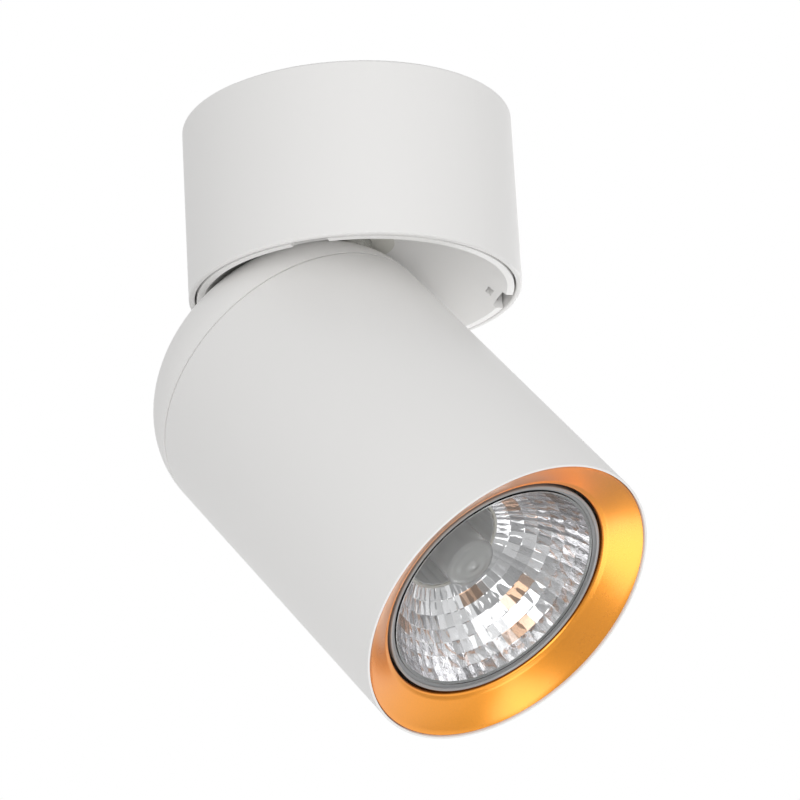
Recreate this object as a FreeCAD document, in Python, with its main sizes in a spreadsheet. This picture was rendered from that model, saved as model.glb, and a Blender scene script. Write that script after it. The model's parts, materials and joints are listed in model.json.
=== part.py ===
import FreeCAD, Part
import math
import os
import Sketcher

# A tiltable ceiling spotlight. A canopy under the ceiling carries a dish that turns about the vertical axis,
# and a domed head tilts in that dish about a pivot that is the common centre of dome and dish.
#
# Two frames hold the outlines, and both measure upwards, so that nearly every level is positive:
# the pivot frame has its origin at the pivot, with the ceiling at +pivot_drop;
# the rim frame has its origin at the centre of the head's front rim, with Z running back along the head.
# The part itself has its origin at the centre of the ceiling face, with Z up.

# Driving sizes, in millimetres, degrees and shares. The head is built round a lamp of standard size, so the
# lamp's radius and length set the size of the rest.
SIZES = {
    # lamp
    "lamp_radius": 25.3,
    "lamp_length": 48.1,
    "lamp_face_depth": 4.8,
    # canopy
    "canopy_margin": 1.7,
    "canopy_height": 39.4,
    "canopy_wall": 1.3,
    "edge_round": 0.4,
    "block_lug_width": 9.0,
    "block_lug_reach": 9.2,
    "block_lug_height": 9.5,
    # how far the canopy's lip lies above the pivot, and how far the head is tilted at rest
    "lip_level": 35.8,
    "rest_tilt": 40.7,
    # head
    "head_wall": 1.5,
    "shoulder_share": 0.5026,
    "rim_lip_wall": 0.5,
    "rim_lip_depth": 1.7,
    "rim_round": 0.2,
    # swivel dish
    "dish_gap": 0.4,
    "dish_lip_width": 1.5,
    "dish_wall": 1.5,
    "dish_skirt": 6.0,
    "dish_skirt_wall": 1.1,
    "hub_radius": 9.5,
    "hub_thickness": 2.65,
    "notch_width": 8.0,
    "notch_depth": 2.4,
    "notch_bearing": 54.0,
    "window_bar": 1.2,
    "window_width": 3.0,
    "window_depth": 1.2,
    # gap between the dome and the dish, and the washer that lies in it
    "cup_gap": 0.55,
    "dome_washer_radius": 9.0,
    "dome_washer_play": 0.14,
    # rear cap
    "crown_thickness": 5.0,
    "cap_side_wall": 1.7,
    "cap_ledge": 1.0,
    "spigot_length": 5.0,
    "spigot_wall": 1.5,
    "slot_play": 0.35,
    "cap_boss_inset": 8.6,
    "cap_boss_radius": 3.2,
    "cap_boss_bite": 0.6,
    "cap_boss_bearing": 60.0,
    # hollow bolt and what it clamps
    "bolt_radius": 4.0,
    "bolt_bore": 2.6,
    "bolt_head_width": 13.0,
    "bolt_head_height": 3.0,
    "bolt_end": 1.0,
    "running_play": 0.06,
    "slip_play": 0.1,
    "slider_half_length": 5.6,
    "slider_radius": 8.5,
    "slider_height": 3.5,
    "slider_play": 0.3,
    "spring_height": 1.0,
    "spring_radius": 6.3,
    "spring_thickness": 0.5,
    "pan_washer_thickness": 0.5,
    "stop_washer_thickness": 1.0,
    "stop_washer_radius": 8.0,
    "lug_reach": 12.0,
    "lug_width": 2.8,
    "nut_width": 13.0,
    "pan_nut_height": 4.0,
    "lock_nut_height": 3.0,
    # bridge across the canopy
    "bridge_thickness": 2.0,
    "bridge_width": 16.0,
    "bridge_play": 1.5,
    "bridge_screw_inset": 5.2,
    "pan_bush_radius": 5.5,
    "stop_pin_circle": 10.5,
    "stop_pin_radius": 1.2,
    "stop_pin_height": 2.0,
    # small screws: thread radius, play in the hole, pan head
    "screw_radius": 1.45,
    "screw_play": 0.05,
    "screw_length": 8.0,
    "pan_head_radius": 2.75,
    "pan_head_height": 1.8,
    "drive_width": 2.0,
    "drive_depth": 1.1,
    # ceiling bracket
    "bracket_play": 2.4,
    "bracket_thickness": 1.5,
    "ear_play": 0.7,
    "ear_width": 9.0,
    "ear_drop": 10.0,
    "ear_foot": 5.7,
    "set_screw_drop": 7.0,
    "set_screw_length": 4.6,
    "set_screw_recess": 0.2,
    "slot_margin": 4.3,
    "slot_length": 12.0,
    "slot_width": 4.5,
    "cable_hole_offset": 16.0,
    "cable_hole_radius": 7.0,
    "grommet_bore": 4.2,
    "grommet_flange": 9.0,
    "grommet_depth": 1.5,
    "ear_bearing": 102.0,
    "earth_offset": 12.0,
    "earth_side": 16.0,
    # terminal block
    "block_near": 9.5,
    "block_depth": 15.0,
    "block_half_width": 13.5,
    "block_height": 12.0,
    "pole_pitch": 9.0,
    "tube_radius": 2.2,
    "tube_bore": 1.5,
    "tube_rise": 6.0,
    "terminal_screw_inset": 4.0,
    "terminal_screw_radius": 1.4,
    # chassis disc and lampholder
    "chassis_gap": 1.6,
    "chassis_thickness": 1.2,
    "chassis_play": 0.3,
    "chassis_hole_offset": 14.5,
    "chassis_hole_radius": 4.0,
    "chassis_grommet_bore": 2.4,
    "chassis_grommet_lip": 1.0,
    "holder_height": 20.5,
    "holder_half_length": 14.0,
    "holder_half_width": 9.5,
    "holder_corner": 3.0,
    "holder_face_wall": 2.0,
    "holder_pocket_height": 8.0,
    "holder_screw_offset": 10.0,
    "twist_angle": 25.0,
    # parts of the lamp, with shares of its radius and length
    "lamp_rim_wall": 0.9,
    "lamp_rim_height": 4.6,
    "lamp_glass_inset": 0.4,
    "lamp_glass_thickness": 0.9,
    "lamp_glass_play": 0.1,
    "lamp_glass_ledge": 0.7,
    "mirror_neck_share": 0.439,
    "mirror_depth_share": 0.33,
    "mirror_curve": 32.0,
    "reflector_curve": 45.0,
    "reflector_wall": 2.1,
    "base_radius": 11.5,
    "base_waist": 9.0,
    "base_foot_height": 6.0,
    "base_collar_share": 0.187,
    "base_taper_share": 0.187,
    "base_well_share": 0.25,
    "base_well_step": 0.5,
    "capsule_radius": 5.7,
    "capsule_tip_depth": 8.6,
    "capsule_dome": 9.0,
    "capsule_wall": 0.9,
    "pinch_height": 7.0,
    "pinch_radius": 3.2,
    "filament_radius": 0.9,
    "filament_length": 6.0,
    "filament_depth": 6.0,
    "filament_lead": 0.3,
    "pin_spacing": 10.0,
    "pin_neck_radius": 1.5,
    "pin_neck_length": 2.3,
    "pin_head_radius": 2.4,
    "pin_head_length": 4.0,
    "pin_play": 0.3,
    # trim ring
    "trim_play": 0.3,
    "trim_set_back": 0.4,
    "trim_edge": 1.2,
    "trim_mouth_play": 1.0,
    "trim_funnel_width": 7.2,
    "trim_mouth_round": 0.4,
    "trim_depth": 4.6,
    "trim_wall": 1.0,
    "trim_skirt": 14.0,
    "clip_width": 7.0,
    "clip_thickness": 0.4,
    "clip_play": 0.02,
    "clip_bulge": 0.9,
    "clip_overlap": 4.0,
    "clip_run": 2.5,
    "clip_tail": 1.5,
}

# Sizes that follow from the driving ones, as formulas in the same sheet.
DERIVED = {
    # from the lamp out to the canopy
    "trim_mouth_radius": "lamp_radius + trim_mouth_play",
    "trim_flange_radius": "trim_mouth_radius + trim_funnel_width",
    "rim_seat_radius": "trim_flange_radius + trim_play",
    "head_radius": "rim_seat_radius + rim_lip_wall",
    "head_bore": "head_radius - head_wall",
    "canopy_radius": "head_radius + canopy_margin",
    "canopy_bore": "canopy_radius - canopy_wall",
    "pivot_drop": "lip_level + canopy_height",
    # dish
    "dish_radius": "canopy_bore - dish_gap",
    "lip_inner": "dish_radius - dish_lip_width",
    "cup_radius": "sqrt(lip_inner ^ 2 + lip_level ^ 2)",
    "cup_outer": "cup_radius + dish_wall",
    "skirt_top": "lip_level + dish_skirt",
    "skirt_inner": "dish_radius - dish_skirt_wall",
    "skirt_meet": "sqrt(cup_outer ^ 2 - skirt_inner ^ 2)",
    "hub_level": "cup_radius + hub_thickness",
    "hub_meet": "sqrt(cup_outer ^ 2 - hub_radius ^ 2)",
    "bolt_hole": "bolt_radius + slip_play",
    "cup_at_bolt": "sqrt(cup_radius ^ 2 - bolt_hole ^ 2)",
    "notch_half": "notch_width / 2",
    "notch_floor": "dish_radius - notch_depth",
    "window_outer": "notch_floor - window_bar",
    "window_inner": "window_outer - window_depth",
    "window_half": "window_width / 2",
    # dome: a sphere about the pivot, rounded into the tube at the shoulder
    "dome_radius": "cup_radius - cup_gap",
    "cap_bore": "dome_radius - crown_thickness",
    "shoulder_radius": "head_radius * shoulder_share",
    "shoulder_centre": "head_radius - shoulder_radius",
    "shoulder_reach": "dome_radius - shoulder_radius",
    "pivot_to_seam": "sqrt(shoulder_reach ^ 2 - shoulder_centre ^ 2)",
    # levels in the head, from the lamp's face back to the seam
    "holder_face": "lamp_face_depth + lamp_length",
    "chassis_front": "holder_face + holder_height",
    "chassis_depth": "chassis_front + chassis_thickness",
    "spigot_end": "chassis_depth + chassis_gap",
    "seam_level": "spigot_end + spigot_length",
    "rim_to_pivot": "seam_level - pivot_to_seam",
    "blend_share": "dome_radius / (dome_radius - shoulder_radius)",
    "blend_radius": "shoulder_centre * blend_share",
    "blend_level": "rim_to_pivot + pivot_to_seam * blend_share",
    "dome_top": "rim_to_pivot + dome_radius",
    "bore_top": "rim_to_pivot + cap_bore",
    "spigot_inner": "head_bore - spigot_wall",
    "cavity_radius": "head_radius - cap_side_wall",
    "cavity_top": "rim_to_pivot + sqrt(cap_bore ^ 2 - cavity_radius ^ 2)",
    "ledge_level": "seam_level + cap_ledge",
    "slot_half": "bolt_radius + slot_play",
    "slot_reach": "dome_radius + crown_thickness",
    "slot_start": "cap_bore - crown_thickness",
    "cap_boss_circle": "cavity_radius - cap_boss_inset",
    "cap_boss_meet": "sqrt(cap_bore ^ 2 - (cap_boss_circle - cap_boss_radius) ^ 2)",
    "cap_boss_height": "rim_to_pivot + cap_boss_meet + cap_boss_bite - chassis_depth",
    # stack on the hollow bolt, from the slider up to the lock nut
    "slider_top": "cap_bore - slider_play",
    "slider_level": "cap_bore - slider_height",
    "slider_edge": "sqrt(slider_top ^ 2 - slider_radius ^ 2)",
    "slider_at_bolt": "sqrt(slider_top ^ 2 - bolt_hole ^ 2)",
    "slider_trim": "slider_radius + slider_play",
    "slider_spring_level": "slider_level - spring_height",
    "slider_spring_rim": "slider_spring_level + spring_thickness",
    "slider_spring_eye": "slider_level - spring_thickness",
    "bolt_head_level": "slider_spring_level - bolt_head_height",
    "washer_inner_face": "dome_radius + dome_washer_play",
    "washer_outer_face": "cup_radius - dome_washer_play",
    "washer_inner_edge": "sqrt(washer_inner_face ^ 2 - dome_washer_radius ^ 2)",
    "washer_outer_edge": "sqrt(washer_outer_face ^ 2 - dome_washer_radius ^ 2)",
    "washer_inner_hole": "sqrt(washer_inner_face ^ 2 - bolt_hole ^ 2)",
    "washer_outer_hole": "sqrt(washer_outer_face ^ 2 - bolt_hole ^ 2)",
    "bridge_level": "hub_level + pan_washer_thickness",
    "bridge_top": "bridge_level + bridge_thickness",
    "pan_spring_level": "bridge_top + stop_washer_thickness",
    "pan_nut_level": "pan_spring_level + spring_height",
    "pan_spring_rim": "pan_spring_level + spring_thickness",
    "pan_spring_eye": "pan_nut_level - spring_thickness",
    "lock_nut_level": "pan_nut_level + pan_nut_height",
    "bolt_top": "lock_nut_level + lock_nut_height + bolt_end",
    "bolt_length": "bolt_top - bolt_head_level",
    "bush_bore": "bolt_radius + running_play",
    "bridge_half_width": "bridge_width / 2",
    "bridge_half_length": "canopy_bore - bridge_play",
    "bridge_screw_circle": "canopy_bore - bridge_screw_inset",
    "lug_half": "lug_width / 2",
    "stop_pin_length": "bridge_thickness + stop_pin_height",
    "stop_pin_hole": "stop_pin_radius + screw_play",
    # blocks in the canopy that carry the bridge
    "lug_block_half": "block_lug_width / 2",
    "lug_block_outer": "sqrt(canopy_bore ^ 2 - lug_block_half ^ 2) - slip_play",
    "lug_block_inner": "canopy_bore - block_lug_reach",
    "drill_reach": "canopy_radius + canopy_wall",
    "drill_start": "canopy_bore - canopy_wall",
    "screw_hole": "screw_radius + screw_play",
    "screw_head_level": "bridge_level - pan_head_height",
    "screw_tip": "bridge_level + screw_length",
    # bracket
    "bracket_level": "pivot_drop - bracket_thickness",
    "bracket_radius": "canopy_bore - bracket_play",
    "ear_face": "canopy_bore - ear_play",
    "ear_inner": "ear_face - bracket_thickness",
    "ear_foot_inner": "ear_face - ear_foot",
    "ear_half": "ear_width / 2",
    "set_screw_level": "pivot_drop - set_screw_drop",
    "set_screw_head": "canopy_radius - set_screw_recess",
    "set_screw_tip": "canopy_radius - set_screw_length",
    "slot_centre": "bracket_radius - slot_margin - slot_length / 2",
    "slot_end_radius": "slot_width / 2",
    "slot_half_run": "(slot_length - slot_width) / 2",
    "slot_near": "slot_centre - slot_half_run",
    "slot_far": "slot_centre + slot_half_run",
    "grommet_level": "bracket_level - grommet_depth",
    "grommet_neck": "cable_hole_radius - slip_play",
    "bracket_screw_head": "bracket_level - pan_head_height",
    "bracket_screw_tip": "pivot_drop - slip_play",
    # terminal block
    "block_far": "block_near + block_depth",
    "block_middle": "block_near + block_depth / 2",
    "block_level": "bracket_level - block_height",
    "tube_level": "block_level + tube_rise",
    "tube_hole": "tube_radius + slip_play",
    "block_screw_side": "pole_pitch / 2",
    "block_screw_head": "block_level - pan_head_height",
    "terminal_near": "block_near + terminal_screw_inset",
    "terminal_far": "block_far - terminal_screw_inset",
    "terminal_screw_rise": "tube_rise - tube_radius - screw_play",
    "terminal_hole_depth": "tube_rise",
    "terminal_hole": "terminal_screw_radius + screw_play",
    # chassis disc and lampholder, in the rim frame
    "chassis_radius": "head_bore - chassis_play",
    "grommet_fit": "chassis_hole_radius - slip_play",
    "grommet_lip_radius": "chassis_hole_radius + chassis_grommet_lip",
    "grommet_back": "chassis_depth + chassis_grommet_lip",
    "grommet_front": "chassis_front - chassis_grommet_lip",
    "chassis_screw_head": "chassis_front - pan_head_height",
    "chassis_screw_tip": "chassis_front + screw_length",
    "holder_screw_head": "chassis_depth + pan_head_height",
    "holder_screw_tip": "chassis_depth - screw_length",
    "pocket_floor": "holder_face + holder_face_wall",
    "pocket_top": "pocket_floor + holder_pocket_height",
    # lamp, in the rim frame
    "glass_face": "lamp_face_depth + lamp_glass_inset",
    "glass_back": "glass_face + lamp_glass_thickness",
    "glass_seat": "lamp_radius - lamp_rim_wall",
    "lamp_glass_radius": "glass_seat - lamp_glass_play",
    "mirror_radius": "glass_seat - lamp_glass_ledge",
    "mirror_neck_radius": "lamp_radius * mirror_neck_share",
    "lamp_rim_back": "lamp_face_depth + lamp_rim_height",
    "mirror_back": "glass_back + lamp_length * mirror_depth_share",
    "neck_outer": "mirror_neck_radius + reflector_wall",
    "base_foot": "holder_face - base_foot_height",
    "base_collar_end": "mirror_back + lamp_length * base_collar_share",
    "base_shoulder": "base_collar_end + lamp_length * base_taper_share",
    "base_well_radius": "mirror_neck_radius - base_well_step",
    "base_well_floor": "mirror_back + lamp_length * base_well_share",
    "capsule_tip": "lamp_face_depth + capsule_tip_depth",
    "capsule_centre": "capsule_tip + capsule_dome",
    "capsule_shoulder": "capsule_centre - sqrt(capsule_dome ^ 2 - capsule_radius ^ 2)",
    "capsule_bore": "capsule_radius - capsule_wall",
    "capsule_inner_dome": "capsule_dome - capsule_wall",
    "capsule_inner_shoulder": "capsule_centre - sqrt(capsule_inner_dome ^ 2 - capsule_bore ^ 2)",
    "capsule_inner_tip": "capsule_tip + capsule_wall",
    "pinch_level": "base_well_floor - pinch_height",
    "pinch_shoulder": "pinch_level + capsule_wall",
    "pin_circle": "pin_spacing / 2",
    "pin_neck_end": "holder_face + pin_neck_length",
    "pin_tip": "pin_neck_end + pin_head_length",
    "pin_neck_slot": "pin_neck_radius + pin_play",
    "pin_head_hole": "pin_head_radius + pin_play",
    "neck_slot_inner": "pin_circle - pin_neck_slot",
    "neck_slot_outer": "pin_circle + pin_neck_slot",
    "pocket_inner": "pin_circle - pin_head_hole",
    "pocket_outer": "pin_circle + pin_head_hole",
    "filament_level": "capsule_tip + filament_depth",
    "filament_half": "filament_length / 2",
    "filament_lead_side": "filament_half - filament_radius",
    "filament_lead_length": "pinch_level - filament_level",
    "contact_foot": "pin_tip + pin_play",
    "contact_height": "pocket_top - contact_foot",
    "pocket_half_angle": "asin(pin_head_hole / pin_circle) / 1 deg",
    "twist_middle": "twist_angle / 2",
    # trim ring, in the rim frame
    "trim_flange_back": "trim_set_back + trim_edge",
    "trim_radius": "head_bore - trim_play",
    "trim_skirt_inner": "trim_radius - trim_wall",
    "trim_mouth_back": "trim_depth + trim_wall",
    "trim_skirt_start": "trim_set_back + trim_wall * 2",
    "trim_skirt_end": "trim_set_back + trim_skirt",
    "clip_half": "clip_width / 2",
    "clip_outer": "sqrt((trim_skirt_inner - clip_play) ^ 2 - clip_half ^ 2)",
    "clip_inner": "clip_outer - clip_thickness",
    "clip_peak_outer": "clip_outer + clip_bulge",
    "clip_peak_inner": "clip_peak_outer - clip_thickness",
    "clip_start": "trim_skirt_end - clip_overlap",
    "clip_peak": "trim_skirt_end + clip_run",
    "clip_end": "clip_peak + clip_tail",
}

document = FreeCAD.newDocument("Spotlight")
sheet = document.addObject("Spreadsheet::Sheet", "Sizes")
for row, (name, size) in enumerate(SIZES.items(), start=1):
    sheet.set(f"A{row}", name)
    sheet.set(f"B{row}", str(size))
    sheet.setAlias(f"B{row}", name)
for row, (name, formula) in enumerate(DERIVED.items(), start=len(SIZES) + 1):
    sheet.set(f"A{row}", name)
    sheet.set(f"B{row}", "=" + formula)
    sheet.setAlias(f"B{row}", name)
document.recompute()

ORIGIN = FreeCAD.Vector(0, 0, 0)
UP = FreeCAD.Vector(0, 0, 1)
ACROSS = FreeCAD.Vector(0, 1, 0)
pieces = {}


def size(name):
    """Return a sheet value as a number. The name may be 0 or carry a minus sign."""
    if name == "0":
        return 0.0
    if name.startswith("-"):
        return -float(sheet.get(name[1:]))
    return float(sheet.get(name))


FRAMES = {"pivot": FreeCAD.Placement(FreeCAD.Vector(0, 0, -size("pivot_drop")), FreeCAD.Rotation())}
FRAMES["rim"] = FRAMES["pivot"] * FreeCAD.Placement(ORIGIN, FreeCAD.Rotation(ACROSS, -size("rest_tilt")))
FRAMES["rim"] *= FreeCAD.Placement(FreeCAD.Vector(0, 0, -size("rim_to_pivot")), FreeCAD.Rotation())


def link(name):
    """Return the expression that ties a property to a sheet value."""
    return "-Sizes." + name[1:] if name.startswith("-") else "Sizes." + name


def new_body(label, frame="pivot", place=("0", "0"), bearing="0"):
    """Start a body for one sub-part, drawn in the pivot or the rim frame, moved aside and turned about Z."""
    body = document.addObject("PartDesign::Body", label)
    body.Label = label
    pieces[label] = body
    aside = FreeCAD.Vector(size(place[0]), size(place[1]), 0)
    body.Placement = FRAMES[frame] * FreeCAD.Placement(aside, FreeCAD.Rotation(UP, size(bearing)))
    return body


def origin_feature(body, role):
    """Find an origin plane or axis of a body by its role."""
    return next(feature for feature in body.Origin.OriginFeatures if feature.Role == role)


def new_sketch(body, role, shift=None, spin=None):
    """Attach a sketch to an origin plane. shift maps an offset axis to a size, spin is (axis, size)."""
    sketch = body.newObject("Sketcher::SketchObject", body.Label + "_sketch")
    sketch.AttachmentSupport = [(origin_feature(body, role), "")]
    sketch.MapMode = "FlatFace"
    if spin:
        axis, name = spin
        sketch.AttachmentOffset = FreeCAD.Placement(ORIGIN, FreeCAD.Rotation(axis, size(name)))
        sketch.setExpression("AttachmentOffset.Rotation.Angle", link(name) + " * 1 deg")
    for axis, name in (shift or {}).items():
        sketch.setExpression(f"AttachmentOffset.Base.{axis}", link(name))
    return sketch


def pin_point(sketch, geometry, end, x, y):
    """Tie one end of a line or arc, or a circle's centre, to two sheet values."""
    for kind, name, axis in (("DistanceX", x, -2), ("DistanceY", y, -1)):
        if name == "0":
            sketch.addConstraint(Sketcher.Constraint("PointOnObject", geometry, end, axis))
            continue
        index = sketch.addConstraint(Sketcher.Constraint(kind, -1, 1, geometry, end, size(name)))
        sketch.setExpression(f"Constraints[{index}]", link(name))


def bind_radius(sketch, geometry, radius):
    """Tie a circle's or an arc's radius to a sheet value."""
    index = sketch.addConstraint(Sketcher.Constraint("Radius", geometry, size(radius)))
    sketch.setExpression(f"Constraints[{index}]", link(radius))


def draw_outline(sketch, points, arcs=None):
    """Draw a closed outline. arcs maps a point's index to the (radius, turn) of the arc that starts there."""
    arcs = arcs or {}
    corners = [FreeCAD.Vector(size(x), size(y), 0) for x, y in points]
    starts, ends = [], []
    for index, start in enumerate(corners):
        finish = corners[(index + 1) % len(corners)]
        if index in arcs:
            radius, turn = arcs[index]
            sketch.addGeometry(arc_between(start, finish, size(radius), turn), False)
            starts.append(1 if turn > 0 else 2)
            ends.append(2 if turn > 0 else 1)
        else:
            sketch.addGeometry(Part.LineSegment(start, finish), False)
            starts.append(1)
            ends.append(2)
    for index in range(len(corners)):
        following = (index + 1) % len(corners)
        sketch.addConstraint(
            Sketcher.Constraint("Coincident", index, ends[index], following, starts[following]))
    for index, (x, y) in enumerate(points):
        pin_point(sketch, index, starts[index], x, y)
    for index, (radius, _) in arcs.items():
        bind_radius(sketch, index, radius)


def arc_between(start, finish, radius, turn):
    """Return the arc of under half a circle from start to finish, anticlockwise where turn is positive."""
    chord = finish - start
    left = FreeCAD.Vector(-chord.y, chord.x, 0).normalize()
    rise = math.sqrt(max(radius ** 2 - chord.Length ** 2 / 4, 0))
    centre = (start + finish) / 2 + left * rise * turn
    low, high = (start, finish) if turn > 0 else (finish, start)
    first = math.atan2(low.y - centre.y, low.x - centre.x)
    last = math.atan2(high.y - centre.y, high.x - centre.x)
    if last < first:
        last += 2 * math.pi
    return Part.ArcOfCircle(Part.Circle(centre, UP, radius), first, last)


def draw_circles(sketch, circles):
    """Draw circles, each (centre x, centre y, radius)."""
    for x, y, radius in circles:
        centre = FreeCAD.Vector(size(x), size(y), 0)
        index = sketch.addGeometry(Part.Circle(centre, UP, size(radius)), False)
        pin_point(sketch, index, 3, x, y)
        bind_radius(sketch, index, radius)


def draw_box(sketch, left, right, low, high):
    """Draw a rectangle between four sheet values."""
    draw_outline(sketch, [(left, low), (right, low), (right, high), (left, high)])


def draw_hexagon(sketch, width):
    """Draw a regular hexagon about the sketch's origin, with its width across flats from the sheet."""
    corner = size(width) / math.sqrt(3)
    for step in range(6):
        turn, after = math.radians(60 * step), math.radians(60 * (step + 1))
        sketch.addGeometry(Part.LineSegment(
            FreeCAD.Vector(corner * math.cos(turn), corner * math.sin(turn), 0),
            FreeCAD.Vector(corner * math.cos(after), corner * math.sin(after), 0)), False)
    circle = sketch.addGeometry(Part.Circle(ORIGIN, UP, corner), True)
    for step in range(6):
        sketch.addConstraint(Sketcher.Constraint("Coincident", step, 2, (step + 1) % 6, 1))
        sketch.addConstraint(Sketcher.Constraint("PointOnObject", step, 1, circle))
    for step in range(1, 6):
        sketch.addConstraint(Sketcher.Constraint("Equal", 0, step))
    sketch.addConstraint(Sketcher.Constraint("Coincident", circle, 3, -1, 1))
    sketch.addConstraint(Sketcher.Constraint("PointOnObject", 0, 1, -1))
    index = sketch.addConstraint(Sketcher.Constraint("Radius", circle, corner))
    sketch.setExpression(f"Constraints[{index}]", link(width) + " / sqrt(3)")


def feature(body, kind, sketch):
    """Add a sketch-based feature and make it the body's tip."""
    item = body.newObject("PartDesign::" + kind, body.Label + "_" + kind.lower())
    item.Profile = sketch
    sketch.Visibility = False
    body.Tip = item
    return item


def revolve(body, sketch, axis="V_Axis"):
    """Turn a sketch once round one of its own axes."""
    item = feature(body, "Revolution", sketch)
    item.ReferenceAxis = (sketch, [axis])
    item.Angle = 360
    return item


def pad(body, sketch, height, reverse=False):
    """Raise a sketch by a sheet value."""
    item = feature(body, "Pad", sketch)
    item.setExpression("Length", link(height))
    item.Reversed = reverse
    return item


def cut_through(body, sketch, reverse=False):
    """Cut a sketch through all of the body on one side of its plane, and check that it cut."""
    document.recompute()
    before = body.Shape.Volume
    item = feature(body, "Pocket", sketch)
    item.Type = "ThroughAll"
    item.Reversed = reverse
    document.recompute()
    check_cut(body, before)
    return item


def cut_depth(body, sketch, depth, reverse=False):
    """Cut a sketch to a depth from the sheet, and check that it cut."""
    document.recompute()
    before = body.Shape.Volume
    item = feature(body, "Pocket", sketch)
    item.setExpression("Length", link(depth))
    item.Reversed = reverse
    document.recompute()
    check_cut(body, before)
    return item


def groove(body, sketch, axis="H_Axis", angle=None, reverse=False, midplane=False):
    """Turn a cut round one of a sketch's own axes, by an angle from the sheet or all the way."""
    document.recompute()
    before = body.Shape.Volume
    item = feature(body, "Groove", sketch)
    item.ReferenceAxis = (sketch, [axis])
    item.Angle = 360
    item.Reversed = reverse
    item.Midplane = midplane
    if angle:
        item.setExpression("Angle", angle)
    document.recompute()
    check_cut(body, before)
    return item


def check_cut(body, before):
    """Stop if a cut took nothing away."""
    if body.Shape.Volume >= before:
        raise RuntimeError(body.Label + ": a cut removes nothing")


def repeat(body, features, count, angle="360"):
    """Copy features round the body's Z axis."""
    pattern = body.newObject("PartDesign::PolarPattern", body.Label + "_pattern")
    pattern.Originals = features
    pattern.Axis = (origin_feature(body, "Z_Axis"), [""])
    pattern.setExpression("Angle", angle)
    pattern.Occurrences = count
    body.Tip = pattern
    return pattern


def circle_edges(body, radius, level):
    """Name the body's circular edges of one radius at one level."""
    document.recompute()
    names = []
    for index, edge in enumerate(body.Shape.Edges, start=1):
        curve = edge.Curve
        if not isinstance(curve, Part.Circle):
            continue
        same_radius = math.isclose(curve.Radius, size(radius), rel_tol=1e-6)
        centre = body.Placement.inverse().multVec(curve.Center)
        if same_radius and math.isclose(centre.z, size(level), rel_tol=1e-6, abs_tol=1e-6):
            names.append(f"Edge{index}")
    return names


def round_edges(body, places, radius):
    """Fillet circular edges, each given as (radius, level)."""
    document.recompute()
    names = [name for place in places for name in circle_edges(body, *place)]
    base = body.Tip
    item = body.newObject("PartDesign::Fillet", body.Label + "_fillet")
    item.Base = (base, names)
    item.setExpression("Radius", link(radius))
    body.Tip = item
    return item


def canopy_shell():
    """Short open cylinder with two holes for the set screws."""
    body = new_body("canopy_shell")
    sketch = new_sketch(body, "XZ_Plane")
    draw_box(sketch, "canopy_bore", "canopy_radius", "lip_level", "pivot_drop")
    revolve(body, sketch)
    round_edges(body, [("canopy_radius", "lip_level"), ("canopy_radius", "pivot_drop"),
                       ("canopy_bore", "lip_level")], "edge_round")
    sketch = new_sketch(body, "XZ_Plane", {"y": "set_screw_level"}, (ACROSS, "ear_bearing"))
    draw_box(sketch, "drill_start", "drill_reach", "0", "screw_hole")
    hole = groove(body, sketch)
    repeat(body, [hole], 2, "120")


def canopy_blocks():
    """Two blocks spot-welded inside the canopy, tapped for the bridge's screws."""
    body = new_body("canopy_blocks")
    sketch = new_sketch(body, "XY_Plane", {"z": "bridge_top"})
    draw_box(sketch, "-lug_block_half", "lug_block_half", "lug_block_inner", "lug_block_outer")
    block = pad(body, sketch, "block_lug_height")
    sketch = new_sketch(body, "XY_Plane", {"z": "bridge_top"})
    draw_circles(sketch, [("0", "bridge_screw_circle", "screw_hole")])
    tapped = cut_depth(body, sketch, "screw_length", reverse=True)
    repeat(body, [block, tapped], 2)


def swivel_dish():
    """Bowl about the pivot with a flat lip, a short skirt and a hub, and three rim notches and windows."""
    body = new_body("swivel_dish")
    sketch = new_sketch(body, "XZ_Plane")
    draw_outline(sketch, [
        ("lip_inner", "lip_level"), ("dish_radius", "lip_level"), ("dish_radius", "skirt_top"),
        ("skirt_inner", "skirt_top"), ("skirt_inner", "skirt_meet"), ("hub_radius", "hub_meet"),
        ("hub_radius", "hub_level"), ("bolt_hole", "hub_level"), ("bolt_hole", "cup_at_bolt")],
        {4: ("cup_outer", 1), 8: ("cup_radius", -1)})
    revolve(body, sketch)
    sketch = new_sketch(body, "XY_Plane", {"z": "lip_level"}, (UP, "notch_bearing"))
    draw_box(sketch, "notch_floor", "canopy_radius", "-notch_half", "notch_half")
    notch = cut_depth(body, sketch, "dish_skirt", reverse=True)
    sketch = new_sketch(body, "XY_Plane", {"z": "lip_level"}, (UP, "notch_bearing"))
    draw_box(sketch, "window_inner", "window_outer", "-window_half", "window_half")
    window = cut_depth(body, sketch, "dish_skirt", reverse=True)
    repeat(body, [notch, window], 3)


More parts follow.
